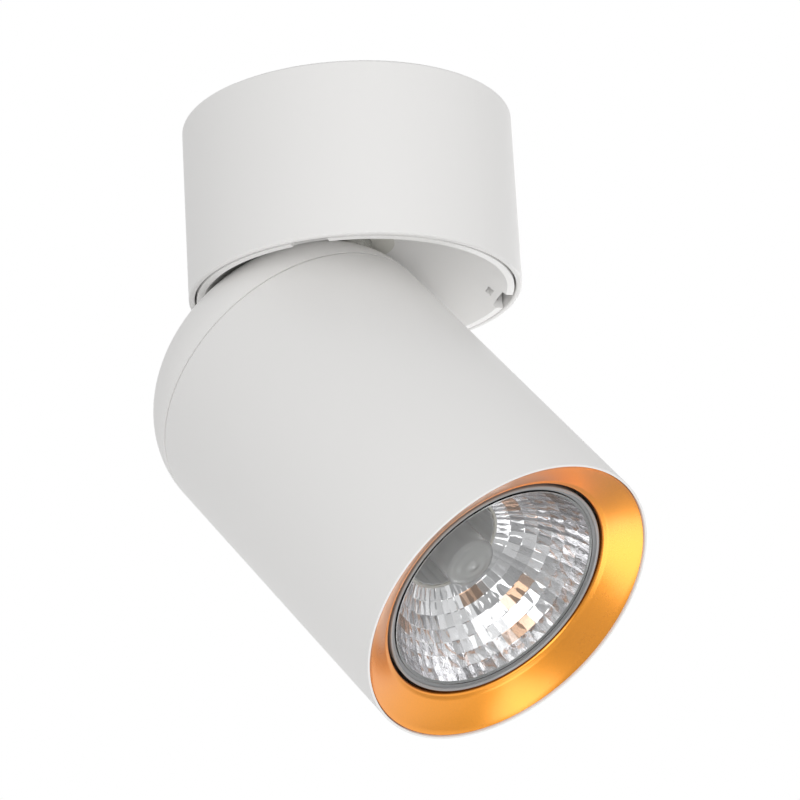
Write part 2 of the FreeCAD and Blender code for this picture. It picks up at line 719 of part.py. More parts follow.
def rear_cap():
    """Domed back of the head, slotted for the hollow bolt, with a spigot and three screw bosses."""
    body = new_body("rear_cap", "rim")
    sketch = new_sketch(body, "XZ_Plane")
    draw_outline(sketch, [
        ("spigot_inner", "spigot_end"), ("head_bore", "spigot_end"), ("head_bore", "seam_level"),
        ("head_radius", "seam_level"), ("blend_radius", "blend_level"), ("0", "dome_top"),
        ("0", "bore_top"), ("cavity_radius", "cavity_top"), ("cavity_radius", "ledge_level"),
        ("spigot_inner", "ledge_level")],
        {3: ("shoulder_radius", 1), 4: ("dome_radius", 1), 6: ("cap_bore", -1)})
    revolve(body, sketch)
    sketch = new_sketch(body, "XY_Plane", {"z": "chassis_depth"}, (UP, "cap_boss_bearing"))
    draw_circles(sketch, [("cap_boss_circle", "0", "cap_boss_radius")])
    boss = pad(body, sketch, "cap_boss_height")
    sketch = new_sketch(body, "XY_Plane", {"z": "chassis_depth"}, (UP, "cap_boss_bearing"))
    draw_circles(sketch, [("cap_boss_circle", "0", "screw_hole")])
    tapped = cut_depth(body, sketch, "screw_length", reverse=True)
    repeat(body, [boss, tapped], 3)
    sketch = new_sketch(body, "YZ_Plane", {"y": "rim_to_pivot"})
    draw_box(sketch, "-slot_half", "slot_half", "slot_start", "slot_reach")
    groove(body, sketch, angle="Sizes.rest_tilt * 1 deg")
    sketch = new_sketch(body, "XY_Plane", {"z": "rim_to_pivot"})
    draw_circles(sketch, [("0", "0", "slot_half")])
    cut_through(body, sketch, reverse=True)
    sketch = new_sketch(body, "XY_Plane", {"z": "rim_to_pivot"}, (ACROSS, "rest_tilt"))
    draw_circles(sketch, [("0", "0", "slot_half")])
    cut_through(body, sketch, reverse=True)


def head_tube():
    """Tube of the head, open at both ends, with a seat for the trim ring inside its front lip."""
    body = new_body("head_tube", "rim")
    sketch = new_sketch(body, "XZ_Plane")
    draw_outline(sketch, [
        ("rim_seat_radius", "0"), ("head_radius", "0"), ("head_radius", "seam_level"),
        ("head_bore", "seam_level"), ("head_bore", "rim_lip_depth"), ("rim_seat_radius", "rim_lip_depth")])
    revolve(body, sketch)
    round_edges(body, [("head_radius", "0"), ("rim_seat_radius", "0")], "rim_round")


def disc(label, radius, bore, level, height, frame="pivot"):
    """Flat washer, bush or disc with a centre hole."""
    body = new_body(label, frame)
    sketch = new_sketch(body, "XY_Plane", {"z": level})
    draw_circles(sketch, [("0", "0", radius), ("0", "0", bore)])
    pad(body, sketch, height)
    return body


def nut(label, level, height):
    """Hexagon nut on the hollow bolt."""
    body = new_body(label)
    sketch = new_sketch(body, "XY_Plane", {"z": level})
    draw_hexagon(sketch, "nut_width")
    draw_circles(sketch, [("0", "0", "bolt_hole")])
    pad(body, sketch, height)


def disc_spring(label, foot, rim, eye, top):
    """Coned spring washer that stands on its rim and carries on its eye."""
    body = new_body(label)
    sketch = new_sketch(body, "XZ_Plane")
    draw_outline(sketch, [("bolt_hole", eye), ("spring_radius", foot), ("spring_radius", rim),
                          ("bolt_hole", top)])
    revolve(body, sketch)


def pan_head_screws(label, circle, head, seat, tip, count, frame="pivot", bearing="0", plane="XZ_Plane",
                    place=("0", "0")):
    """Pan head screws with a hexagon drive, on a circle about Z."""
    body = new_body(label, frame, place, bearing)
    sketch = new_sketch(body, plane, {"x": circle} if circle else None)
    draw_outline(sketch, [("0", head), ("pan_head_radius", head), ("pan_head_radius", seat),
                          ("screw_radius", seat), ("screw_radius", tip), ("0", tip)])
    turned = revolve(body, sketch)
    along = "x" if plane == "XZ_Plane" else "y"
    sketch = new_sketch(body, "XY_Plane", {"z": head, along: circle} if circle else {"z": head})
    draw_hexagon(sketch, "drive_width")
    drive = cut_depth(body, sketch, "drive_depth", reverse=size(tip) > size(head))
    if count > 1:
        repeat(body, [turned, drive], count)


def hollow_bolt():
    """Threaded tube with a hexagon head inside the dome. The leads run through its bore."""
    body = new_body("hollow_bolt")
    sketch = new_sketch(body, "XY_Plane", {"z": "bolt_head_level"})
    draw_hexagon(sketch, "bolt_head_width")
    pad(body, sketch, "bolt_head_height")
    sketch = new_sketch(body, "XY_Plane", {"z": "bolt_head_level"})
    draw_circles(sketch, [("0", "0", "bolt_radius")])
    pad(body, sketch, "bolt_length")
    sketch = new_sketch(body, "XY_Plane")
    draw_circles(sketch, [("0", "0", "bolt_bore")])
    cut_through(body, sketch, reverse=True)


def dome_washer():
    """Thin bowl-shaped slip washer between the dome and the dish."""
    body = new_body("dome_washer")
    sketch = new_sketch(body, "XZ_Plane")
    draw_outline(sketch, [
        ("bolt_hole", "washer_inner_hole"), ("dome_washer_radius", "washer_inner_edge"),
        ("dome_washer_radius", "washer_outer_edge"), ("bolt_hole", "washer_outer_hole")],
        {0: ("washer_inner_face", -1), 2: ("washer_outer_face", 1)})
    revolve(body, sketch)


def tilt_slider():
    """Block with a ball-shaped top that clamps the dome from inside and slides along its slot."""
    body = new_body("tilt_slider")
    sketch = new_sketch(body, "XZ_Plane")
    draw_outline(sketch, [
        ("bolt_hole", "slider_level"), ("slider_radius", "slider_level"),
        ("slider_radius", "slider_edge"), ("bolt_hole", "slider_at_bolt")], {2: ("slider_top", 1)})
    revolve(body, sketch)
    sketch = new_sketch(body, "XY_Plane")
    draw_box(sketch, "slider_half_length", "slider_trim", "-slider_trim", "slider_trim")
    side = cut_through(body, sketch, reverse=True)
    repeat(body, [side], 2)


def stop_washer():
    """Washer on the bolt with a lug that meets the stop pin."""
    body = disc("stop_washer", "stop_washer_radius", "bolt_hole", "bridge_top", "stop_washer_thickness")
    sketch = new_sketch(body, "XY_Plane", {"z": "bridge_top"})
    draw_box(sketch, "-lug_half", "lug_half", "pan_bush_radius", "lug_reach")
    pad(body, sketch, "stop_washer_thickness")


def bridge_plate():
    """Steel bar across the canopy that carries the swivel."""
    body = new_body("bridge_plate")
    sketch = new_sketch(body, "XY_Plane", {"z": "bridge_level"})
    draw_box(sketch, "-bridge_half_width", "bridge_half_width", "-bridge_half_length", "bridge_half_length")
    draw_circles(sketch, [("0", "0", "pan_bush_radius"), ("0", "-stop_pin_circle", "stop_pin_hole"),
                          ("0", "bridge_screw_circle", "screw_hole"),
                          ("0", "-bridge_screw_circle", "screw_hole")])
    pad(body, sketch, "bridge_thickness")


def pan_stop_pin():
    """Riveted pin that ends the turn of the swivel."""
    body = new_body("pan_stop_pin")
    sketch = new_sketch(body, "XY_Plane", {"z": "bridge_level"})
    draw_circles(sketch, [("0", "-stop_pin_circle", "stop_pin_radius")])
    pad(body, sketch, "stop_pin_length")


def ceiling_bracket():
    """Round plate with slotted holes and a cable hole."""
    body = new_body("ceiling_bracket")
    sketch = new_sketch(body, "XY_Plane", {"z": "bracket_level"})
    draw_circles(sketch, [("0", "0", "bracket_radius"), ("-cable_hole_offset", "0", "cable_hole_radius"),
                          ("-earth_offset", "earth_side", "screw_hole"),
                          ("block_middle", "block_screw_side", "screw_hole"),
                          ("block_middle", "-block_screw_side", "screw_hole")])
    pad(body, sketch, "bracket_thickness")
    sketch = new_sketch(body, "XY_Plane", {"z": "bracket_level"})
    draw_box(sketch, "-slot_end_radius", "slot_end_radius", "slot_near", "slot_far")
    slot = cut_through(body, sketch, reverse=True)
    sketch = new_sketch(body, "XY_Plane", {"z": "bracket_level"})
    draw_circles(sketch, [("0", "slot_near", "slot_end_radius")])
    near = cut_through(body, sketch, reverse=True)
    sketch = new_sketch(body, "XY_Plane", {"z": "bracket_level"})
    draw_circles(sketch, [("0", "slot_far", "slot_end_radius")])
    far = cut_through(body, sketch, reverse=True)
    repeat(body, [slot, near, far], 2)


def bracket_ears():
    """Three angle pieces welded under the bracket's edge, tapped for the set screws."""
    body = new_body("bracket_ears", bearing="ear_bearing")
    sketch = new_sketch(body, "XY_Plane", {"z": "bracket_level"})
    draw_box(sketch, "ear_foot_inner", "ear_face", "-ear_half", "ear_half")
    foot = pad(body, sketch, "bracket_thickness", reverse=True)
    sketch = new_sketch(body, "XY_Plane", {"z": "bracket_level"})
    draw_box(sketch, "ear_inner", "ear_face", "-ear_half", "ear_half")
    ear = pad(body, sketch, "ear_drop", reverse=True)
    sketch = new_sketch(body, "XZ_Plane", {"y": "set_screw_level"})
    draw_box(sketch, "ear_foot_inner", "canopy_radius", "0", "screw_hole")
    tapped = groove(body, sketch)
    repeat(body, [foot, ear, tapped], 3)


def cable_grommet():
    """Rubber bush that lines the cable hole."""
    body = new_body("cable_grommet", place=("-cable_hole_offset", "0"))
    sketch = new_sketch(body, "XZ_Plane")
    draw_outline(sketch, [
        ("grommet_bore", "grommet_level"), ("grommet_flange", "grommet_level"),
        ("grommet_flange", "bracket_level"), ("grommet_neck", "bracket_level"),
        ("grommet_neck", "pivot_drop"), ("grommet_bore", "pivot_drop")])
    revolve(body, sketch)


def canopy_set_screws():
    """Two grub screws that hold the canopy on the bracket's ears."""
    body = new_body("canopy_set_screws", bearing="ear_bearing")
    sketch = new_sketch(body, "XZ_Plane", {"y": "set_screw_level"})
    draw_box(sketch, "set_screw_tip", "set_screw_head", "0", "screw_radius")
    turned = revolve(body, sketch, "H_Axis")
    sketch = new_sketch(body, "YZ_Plane", {"z": "set_screw_head", "y": "set_screw_level"})
    draw_hexagon(sketch, "drive_width")
    drive = cut_depth(body, sketch, "drive_depth")
    repeat(body, [turned, drive], 2, "120")


def terminal_block():
    """Three-pole insulating block with through bores and screw holes."""
    body = new_body("terminal_block")
    sketch = new_sketch(body, "XY_Plane", {"z": "block_level"})
    draw_box(sketch, "block_near", "block_far", "-block_half_width", "block_half_width")
    draw_circles(sketch, [("block_middle", "block_screw_side", "screw_hole"),
                          ("block_middle", "-block_screw_side", "screw_hole")])
    pad(body, sketch, "block_height")
    sketch = new_sketch(body, "YZ_Plane")
    draw_circles(sketch, [(side, "tube_level", "tube_hole") for side in POLES])
    cut_through(body, sketch, reverse=True)
    sketch = new_sketch(body, "XY_Plane", {"z": "block_level"})
    draw_circles(sketch, [(place, side, "terminal_hole") for place in TERMINALS for side in POLES])
    cut_depth(body, sketch, "terminal_hole_depth", reverse=True)


def terminal_tubes():
    """Brass tubes that join the leads, one for each pole."""
    body = new_body("terminal_tubes")
    sketch = new_sketch(body, "YZ_Plane", {"z": "block_near"})
    draw_circles(sketch, [(side, "tube_level", radius) for side in POLES
                          for radius in ("tube_radius", "tube_bore")])
    pad(body, sketch, "block_depth")


def terminal_screws():
    """Short clamping screws, two for each pole."""
    body = new_body("terminal_screws")
    sketch = new_sketch(body, "XY_Plane", {"z": "block_level"})
    draw_circles(sketch, [(place, side, "terminal_screw_radius") for place in TERMINALS for side in POLES])
    pad(body, sketch, "terminal_screw_rise")


def terminal_fixing_screws():
    """Two screws that hold the block to the bracket."""
    body = new_body("terminal_fixing_screws", place=("block_middle", "0"))
    sketch = new_sketch(body, "YZ_Plane", {"x": "block_screw_side"})
    draw_outline(sketch, [("0", "block_screw_head"), ("pan_head_radius", "block_screw_head"),
                          ("pan_head_radius", "block_level"), ("screw_radius", "block_level"),
                          ("screw_radius", "bracket_screw_tip"), ("0", "bracket_screw_tip")])
    turned = revolve(body, sketch)
    sketch = new_sketch(body, "XY_Plane", {"z": "block_screw_head", "y": "block_screw_side"})
    draw_hexagon(sketch, "drive_width")
    drive = cut_depth(body, sketch, "drive_depth", reverse=True)
    repeat(body, [turned, drive], 2)


def chassis_disc():
    """Steel disc inside the head, between the clamp and the lampholder."""
    body = new_body("chassis_disc", "rim")
    sketch = new_sketch(body, "XY_Plane", {"z": "chassis_front"})
    draw_circles(sketch, [("0", "0", "chassis_radius"), ("-chassis_hole_offset", "0", "chassis_hole_radius"),
                          ("0", "holder_screw_offset", "screw_hole"),
                          ("0", "-holder_screw_offset", "screw_hole")])
    pad(body, sketch, "chassis_thickness")
    sketch = new_sketch(body, "XY_Plane", {"z": "chassis_front"}, (UP, "cap_boss_bearing"))
    draw_circles(sketch, [("cap_boss_circle", "0", "screw_hole")])
    hole = cut_through(body, sketch, reverse=True)
    repeat(body, [hole], 3)


def chassis_grommet():
    """Rubber bush for the leads in the chassis disc."""
    body = new_body("chassis_grommet", "rim", place=("-chassis_hole_offset", "0"))
    sketch = new_sketch(body, "XZ_Plane")
    draw_outline(sketch, [
        ("chassis_grommet_bore", "grommet_front"), ("grommet_lip_radius", "grommet_front"),
        ("grommet_lip_radius", "chassis_front"), ("grommet_fit", "chassis_front"),
        ("grommet_fit", "chassis_depth"), ("grommet_lip_radius", "chassis_depth"),
        ("grommet_lip_radius", "grommet_back"), ("chassis_grommet_bore", "grommet_back")])
    revolve(body, sketch)


def lampholder_body():
    """Ceramic bayonet holder. Its pockets let the lamp's two pins in and lock them after a short turn."""
    body = new_body("lampholder_body", "rim")
    sketch = new_sketch(body, "XY_Plane", {"z": "holder_face"})
    draw_box(sketch, "-holder_half_width", "holder_half_width", "-holder_half_length", "holder_half_length")
    block = pad(body, sketch, "holder_height")
    document.recompute()
    upright = [f"Edge{index}" for index, edge in enumerate(block.Shape.Edges, start=1)
               if math.isclose(edge.Length, size("holder_height"), rel_tol=1e-6)]
    corners = body.newObject("PartDesign::Fillet", "lampholder_corners")
    corners.Base = (block, upright)
    corners.setExpression("Radius", "Sizes.holder_corner")
    body.Tip = corners
    sketch = new_sketch(body, "XY_Plane", {"z": "chassis_front"})
    draw_circles(sketch, [("0", "holder_screw_offset", "screw_hole"),
                          ("0", "-holder_screw_offset", "screw_hole")])
    cut_depth(body, sketch, "screw_length")
    sketch = new_sketch(body, "XZ_Plane", None, (ACROSS, "-twist_middle"))
    draw_box(sketch, "pocket_inner", "pocket_outer", "pocket_floor", "pocket_top")
    pocket = groove(body, sketch, "V_Axis", "(Sizes.twist_angle + 2 * Sizes.pocket_half_angle) * 1 deg",
                    midplane=True)
    sketch = new_sketch(body, "XZ_Plane", None, (ACROSS, "-twist_middle"))
    draw_box(sketch, "neck_slot_inner", "neck_slot_outer", "holder_face", "pocket_floor")
    slot = groove(body, sketch, "V_Axis", "Sizes.twist_angle * 1 deg", midplane=True)
    sketch = new_sketch(body, "XY_Plane", {"z": "holder_face"})
    draw_circles(sketch, [("pin_circle", "0", "pin_neck_slot")])
    locked = cut_depth(body, sketch, "holder_face_wall", reverse=True)
    sketch = new_sketch(body, "XY_Plane", {"z": "holder_face"}, (UP, "-twist_angle"))
    draw_circles(sketch, [("pin_circle", "0", "pin_head_hole")])
    entry = cut_depth(body, sketch, "holder_face_wall", reverse=True)
    repeat(body, [pocket, slot, locked, entry], 2)


def lampholder_contacts():
    """Two spring contacts above the lamp's pins."""
    body = new_body("lampholder_contacts", "rim")
    sketch = new_sketch(body, "XY_Plane", {"z": "contact_foot"})
    draw_circles(sketch, [("pin_circle", "0", "pin_neck_radius"), ("-pin_circle", "0", "pin_neck_radius")])
    pad(body, sketch, "contact_height")


def lamp_reflector():
    """Glass mirror bowl with a stepped rim for the cover glass."""
    body = new_body("lamp_reflector", "rim")
    sketch = new_sketch(body, "XZ_Plane")
    draw_outline(sketch, [
        ("mirror_radius", "glass_back"), ("glass_seat", "glass_back"), ("glass_seat", "lamp_face_depth"),
        ("lamp_radius", "lamp_face_depth"), ("lamp_radius", "lamp_rim_back"),
        ("neck_outer", "mirror_back"), ("mirror_neck_radius", "mirror_back")],
        {4: ("reflector_curve", 1), 6: ("mirror_curve", -1)})
    revolve(body, sketch)


def lamp_cover_glass():
    """Flat glass that closes the mirror bowl."""
    body = new_body("lamp_cover_glass", "rim")
    sketch = new_sketch(body, "XY_Plane", {"z": "glass_face"})
    draw_circles(sketch, [("0", "0", "lamp_glass_radius")])
    pad(body, sketch, "lamp_glass_thickness")


def lamp_capsule():
    """Quartz capsule with a domed tip, closed by a pinch that stands in the base's well."""
    body = new_body("lamp_capsule", "rim")
    sketch = new_sketch(body, "XZ_Plane")
    draw_outline(sketch, [
        ("0", "capsule_tip"), ("capsule_radius", "capsule_shoulder"), ("capsule_radius", "pinch_shoulder"),
        ("pinch_radius", "pinch_shoulder"), ("pinch_radius", "base_well_floor"), ("0", "base_well_floor"),
        ("0", "pinch_level"), ("capsule_bore", "pinch_level"), ("capsule_bore", "capsule_inner_shoulder"),
        ("0", "capsule_inner_tip")],
        {0: ("capsule_dome", 1), 8: ("capsule_inner_dome", -1)})
    revolve(body, sketch)


def lamp_filament():
    """Filament coil as a plain bar on two leads."""
    body = new_body("lamp_filament", "rim")
    sketch = new_sketch(body, "YZ_Plane", {"y": "filament_level"})
    draw_circles(sketch, [("0", "0", "filament_radius")])
    bar = pad(body, sketch, "filament_length")
    bar.Midplane = True
    sketch = new_sketch(body, "XY_Plane", {"z": "filament_level"})
    draw_circles(sketch, [("filament_lead_side", "0", "filament_lead"),
                          ("-filament_lead_side", "0", "filament_lead")])
    pad(body, sketch, "filament_lead_length")


def lamp_base():
    """Ceramic foot of the lamp, with a collar round the well of the capsule, and a waist."""
    body = new_body("lamp_base", "rim")
    sketch = new_sketch(body, "XZ_Plane")
    draw_outline(sketch, [
        ("0", "base_well_floor"), ("base_well_radius", "base_well_floor"), ("base_well_radius", "mirror_back"),
        ("neck_outer", "mirror_back"), ("neck_outer", "base_collar_end"), ("base_waist", "base_shoulder"),
        ("base_waist", "base_foot"), ("base_radius", "base_foot"), ("base_radius", "holder_face"),
        ("0", "holder_face")])
    revolve(body, sketch)


def lamp_pins():
    """Two bayonet pins with wide heads."""
    body = new_body("lamp_pins", "rim")
    sketch = new_sketch(body, "XZ_Plane", {"x": "pin_circle"})
    draw_outline(sketch, [
        ("0", "holder_face"), ("pin_neck_radius", "holder_face"), ("pin_neck_radius", "pin_neck_end"),
        ("pin_head_radius", "pin_neck_end"), ("pin_head_radius", "pin_tip"), ("0", "pin_tip")])
    pin = revolve(body, sketch)
    repeat(body, [pin], 2)


def trim_ring():
    """Funnel from the tube's lip in to the lamp, with a skirt inside the tube."""
    body = new_body("trim_ring", "rim")
    sketch = new_sketch(body, "XZ_Plane")
    draw_outline(sketch, [
        ("trim_flange_radius", "trim_set_back"), ("trim_flange_radius", "trim_flange_back"),
        ("trim_radius", "trim_flange_back"), ("trim_radius", "trim_skirt_end"),
        ("trim_skirt_inner", "trim_skirt_end"), ("trim_skirt_inner", "trim_skirt_start"),
        ("trim_mouth_radius", "trim_mouth_back"), ("trim_mouth_radius", "trim_depth")])
    revolve(body, sketch)
    round_edges(body, [("trim_mouth_radius", "trim_depth")], "trim_mouth_round")


def trim_clips():
    """Three leaf springs on the skirt that hold the ring in the tube."""
    body = new_body("trim_clips", "rim")
    sketch = new_sketch(body, "XZ_Plane")
    draw_outline(sketch, [
        ("clip_inner", "clip_start"), ("clip_outer", "clip_start"), ("clip_outer", "trim_skirt_end"),
        ("clip_peak_outer", "clip_peak"), ("clip_outer", "clip_end"), ("clip_inner", "clip_end"),
        ("clip_peak_inner", "clip_peak"), ("clip_inner", "trim_skirt_end")])
    leaf = pad(body, sketch, "clip_width")
    leaf.Midplane = True
    repeat(body, [leaf], 3)


POLES = ("-pole_pitch", "0", "pole_pitch")
TERMINALS = ("terminal_near", "terminal_far")

# Ceiling side
ceiling_bracket()
bracket_ears()
cable_grommet()
pan_head_screws("earth_screw", None, "bracket_screw_head", "bracket_level", "bracket_screw_tip", 1,
                place=("-earth_offset", "earth_side"))
terminal_block()
terminal_tubes()
terminal_screws()
terminal_fixing_screws()
canopy_shell()
canopy_blocks()
canopy_set_screws()
bridge_plate()
pan_head_screws("bridge_screws", "bridge_screw_circle", "screw_head_level", "bridge_level", "screw_tip", 2,
                plane="YZ_Plane")
disc("pan_bush", "pan_bush_radius", "bush_bore", "bridge_level", "bridge_thickness")
pan_stop_pin()

# Swivel
swivel_dish()
hollow_bolt()
dome_washer()
tilt_slider()
disc_spring("slider_spring_washer", "slider_spring_level", "slider_spring_rim", "slider_spring_eye",
            "slider_level")
disc("pan_washer", "hub_radius", "bolt_hole", "hub_level", "pan_washer_thickness")
stop_washer()
disc_spring("pan_spring_washer", "pan_spring_level", "pan_spring_rim", "pan_spring_eye", "pan_nut_level")
nut("pan_nut", "pan_nut_level", "pan_nut_height")
nut("lock_nut", "lock_nut_level", "lock_nut_height")

# Head
head_tube()
rear_cap()
chassis_disc()
pan_head_screws("chassis_screws", "cap_boss_circle", "chassis_screw_head", "chassis_front",
                "chassis_screw_tip", 3, "rim", "cap_boss_bearing")
chassis_grommet()
lampholder_body()
lampholder_contacts()
pan_head_screws("lampholder_screws", "holder_screw_offset", "holder_screw_head", "chassis_depth",
                "holder_screw_tip", 2, "rim", plane="YZ_Plane")

# Trim and lamp
trim_ring()
trim_clips()
lamp_reflector()
lamp_cover_glass()
lamp_capsule()
lamp_filament()
lamp_base()
lamp_pins()

document.recompute()
failed = [item.Name for item in document.Objects if "Invalid" in item.State or "Error" in item.State]
broken = [label for label, body in pieces.items() if body.Shape.isNull() or not body.Shape.isValid()]
if failed or broken:
    raise RuntimeError(f"not built: {failed} {broken}")

os.makedirs("parts", exist_ok=True)
for label, body in pieces.items():
    body.Shape.exportStep(f"parts/{label}.step")
    box = body.Shape.BoundBox
    print(f"{label}: {len(body.Shape.Solids)} solids, {body.Shape.Volume:.1f} mm3, "
          f"z {box.ZMin:.1f} to {box.ZMax:.1f}")
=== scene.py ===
# %% [markdown]
# # A tilting ceiling spotlight
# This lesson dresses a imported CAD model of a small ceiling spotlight. A round canopy is fixed to
# the ceiling, and a dish turns in it. A round head tilts in the dish, and the gold ring in its
# front funnels in to a faceted reflector lamp. The CAD model is the fixed frame: every new piece
# takes its place and its main sizes from the nodes of that frame, so the pieces fit one another.

# %% Load the frame
import json
import math

import bmesh
import bpy
import numpy as np
from mathutils import Matrix, Quaternion, Vector


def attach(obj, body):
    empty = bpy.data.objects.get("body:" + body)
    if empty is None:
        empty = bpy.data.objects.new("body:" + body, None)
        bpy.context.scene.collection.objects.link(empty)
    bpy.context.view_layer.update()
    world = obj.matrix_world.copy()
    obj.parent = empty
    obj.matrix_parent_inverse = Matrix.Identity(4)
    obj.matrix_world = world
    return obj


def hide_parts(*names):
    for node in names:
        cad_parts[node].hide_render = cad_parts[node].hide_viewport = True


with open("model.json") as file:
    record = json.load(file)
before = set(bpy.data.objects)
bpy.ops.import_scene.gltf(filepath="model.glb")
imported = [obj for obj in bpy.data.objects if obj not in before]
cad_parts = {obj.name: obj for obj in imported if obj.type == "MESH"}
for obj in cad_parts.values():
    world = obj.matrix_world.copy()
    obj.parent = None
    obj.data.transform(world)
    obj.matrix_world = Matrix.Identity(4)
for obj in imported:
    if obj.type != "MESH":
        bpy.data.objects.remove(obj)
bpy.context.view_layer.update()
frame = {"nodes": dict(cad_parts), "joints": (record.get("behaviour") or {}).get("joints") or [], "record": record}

nodes = frame["nodes"]
joints = {joint["name"]: joint for joint in frame["joints"]}

# %% [markdown]
# ## The two axes of the object
# Almost every piece of the real light is turned on a lathe, so each one is a profile carried round
# an axis. The canopy and the dish share the vertical axis. The head, the ring and the lamp share
# the head's own axis, which is the line that the ring is pulled out along. Depths on the head are
# counted from its front rim backwards, because everything in the head is placed from the rim.

# %% The head's axis
MM = 0.001
BACK = -Vector(joints["trim_pull"]["axis"]).normalized()
ACROSS = Vector((0, 1, 0))
ASIDE = ACROSS.cross(BACK)
PIVOT = Vector(joints["tilt"]["pos_m"])


def corners(node):
    """All points of a CAD node, as rows of x, y and z."""
    mesh = nodes[node].data
    flat = np.empty(len(mesh.vertices) * 3)
    mesh.vertices.foreach_get("co", flat)
    return flat.reshape(-1, 3)


along = (corners("head_tube") - np.array(PIVOT)) @ np.array(BACK)
RIM = PIVOT + BACK * float(along.min())


def on_axis(node):
    """Radius and depth of a CAD node's points: from the head's axis, and behind its rim."""
    from_rim = corners(node) - np.array(RIM)
    depth = from_rim @ np.array(BACK)
    radius = np.linalg.norm(from_rim - depth[:, None] * np.array(BACK), axis=1)
    return radius, depth


head_radii, head_depths = on_axis("head_tube")
HEAD_RADIUS = float(head_radii.max())
SEAM = float(head_depths.max())
print(f"head: radius {HEAD_RADIUS / MM:.2f} mm, from rim to seam {SEAM / MM:.2f} mm")

# %% [markdown]
# ## From a grid of points to a mesh
# A new piece is a grid of points, worked out all at once, with faces that join neighbours on the
# grid. Points that fall on one another, as they do where a grid closes on the axis, are merged, so
# that the mesh is closed. A mesh whose enclosed volume comes out negative has its faces the wrong
# way round and is flipped. Edges sharper than an angle stay sharp, and the rest is shaded smooth.

# %% Make a mesh
MERGE_GAP = 1e-7


def enclosed(points, faces):
    """Volume in a closed mesh: a sixth of the sum of the triple products of its triangles."""
    quads = points[faces]
    a, b, c, d = (quads[:, i] for i in range(4))
    first_halves = np.einsum("ij,ij->i", a, np.cross(b, c))
    second_halves = np.einsum("ij,ij->i", a, np.cross(c, d))
    return (first_halves + second_halves).sum() / 6


def merge_points(mesh):
    """Join the points of a mesh that lie within MERGE_GAP, and drop the faces that vanish."""
    working = bmesh.new()
    working.from_mesh(mesh)
    bmesh.ops.remove_doubles(working, verts=working.verts, dist=MERGE_GAP)
    working.to_mesh(mesh)
    working.free()


def make_piece(name, points, faces, sharp):
    """A mesh object from points and four-cornered faces, turned outwards."""
    points, faces = np.asarray(points, float), np.asarray(faces)
    if enclosed(points, faces) < 0:
        faces = faces[:, ::-1]
    mesh = bpy.data.meshes.new(name)
    mesh.from_pydata(points.tolist(), [], faces.tolist())
    merge_points(mesh)
    mesh.shade_smooth()
    mesh.set_sharp_from_angle(angle=math.radians(sharp))
    piece = bpy.data.objects.new(name, mesh)
    bpy.context.scene.collection.objects.link(piece)
    return piece


print("points merge within", MERGE_GAP, "m")

# %% [markdown]
# ## A profile carried round the axis
# A lathe makes a round piece from one profile, and so does this helper: it carries a closed outline
# of radius and depth round the head's axis in equal steps, and the last step joins the first. An
# outline is put together from single points and from arcs. Where its two ends lie on the axis, they
# aren't joined to each other, and the piece has no bore.

# %% Turn a profile
STEPS_ROUND = 240


def place_on_head(x, y, depth):
    """Points of the frame: the rim plus distances aside, across and back along the head's axes."""
    x, y, depth = (np.asarray(v, float)[..., None] for v in (x, y, depth))
    return np.array(RIM) + x * np.array(ASIDE) + y * np.array(ACROSS) + depth * np.array(BACK)


def loop_faces(rounds, outline, ends_meet=True):
    """Faces of a grid closed round the axis, and along the outline too where its ends meet."""
    rows = np.arange(outline if ends_meet else outline - 1)
    i, j = np.meshgrid(np.arange(rounds), rows, indexing="ij")
    i2, j2 = (i + 1) % rounds, (j + 1) % outline
    corners_of_face = [i * outline + j, i2 * outline + j, i2 * outline + j2, i * outline + j2]
    return np.stack(corners_of_face, -1).reshape(-1, 4)


def turned(name, outline, sharp, ends_meet=True):
    """An outline of (radius, depth) round the head's axis: x = r cos a, y = r sin a, a in steps."""
    radius, depth = outline.T
    angle = np.arange(STEPS_ROUND) * 2 * math.pi / STEPS_ROUND
    grid = place_on_head(np.outer(np.cos(angle), radius), np.outer(np.sin(angle), radius),
                         np.broadcast_to(depth, (STEPS_ROUND, len(depth))))
    faces = loop_faces(STEPS_ROUND, len(depth), ends_meet)
    return make_piece(name, grid.reshape(-1, 3), faces, sharp)


def bend(centre, size, first, last, steps):
    """An arc from one angle to another, in degrees: centre plus size times cosine and sine."""
    angle = np.radians(np.linspace(first, last, steps))
    return np.column_stack([centre[0] + size * np.cos(angle), centre[1] + size * np.sin(angle)])


def traced(*parts):
    """One outline from its parts in order, each of them a point, a list of points or an arc."""
    return np.vstack([np.atleast_2d(part) for part in parts])


print("turned pieces have", STEPS_ROUND, "steps round")

# %% [markdown]
# ## Shader helpers
# A material is a small graph. These helpers add a node, join sockets, start a Principled material
# and open a node group, so that each finish below reads as a short recipe.

# %% Shader helpers
def start(name, roughness, metallic=0.0, ior=1.5, transmission=0.0, coat=0.0,
          coat_roughness=0.1):
    """A new material and its Principled shader, whose own sockets hold the uniform values."""
    material = bpy.data.materials.new(name)
    material.use_nodes = True
    shader = material.node_tree.nodes["Principled BSDF"]
    shader.inputs["Metallic"].default_value = metallic
    shader.inputs["Roughness"].default_value = roughness
    shader.inputs["IOR"].default_value = ior
    shader.inputs["Transmission Weight"].default_value = transmission
    shader.inputs["Coat Weight"].default_value = coat
    shader.inputs["Coat Roughness"].default_value = coat_roughness
    return material, shader


def add(tree, kind, values=None, **settings):
    """Add a node, set its properties and the values of its inputs by name or number."""
    node = tree.nodes.new(kind)
    for key, value in settings.items():
        setattr(node, key, value)
    for key, value in (values or {}).items():
        node.inputs[key].default_value = value
    return node


def join(tree, *pairs):
    """Link pairs of sockets, each from an output to an input."""
    for out, into in pairs:
        tree.links.new(out, into)


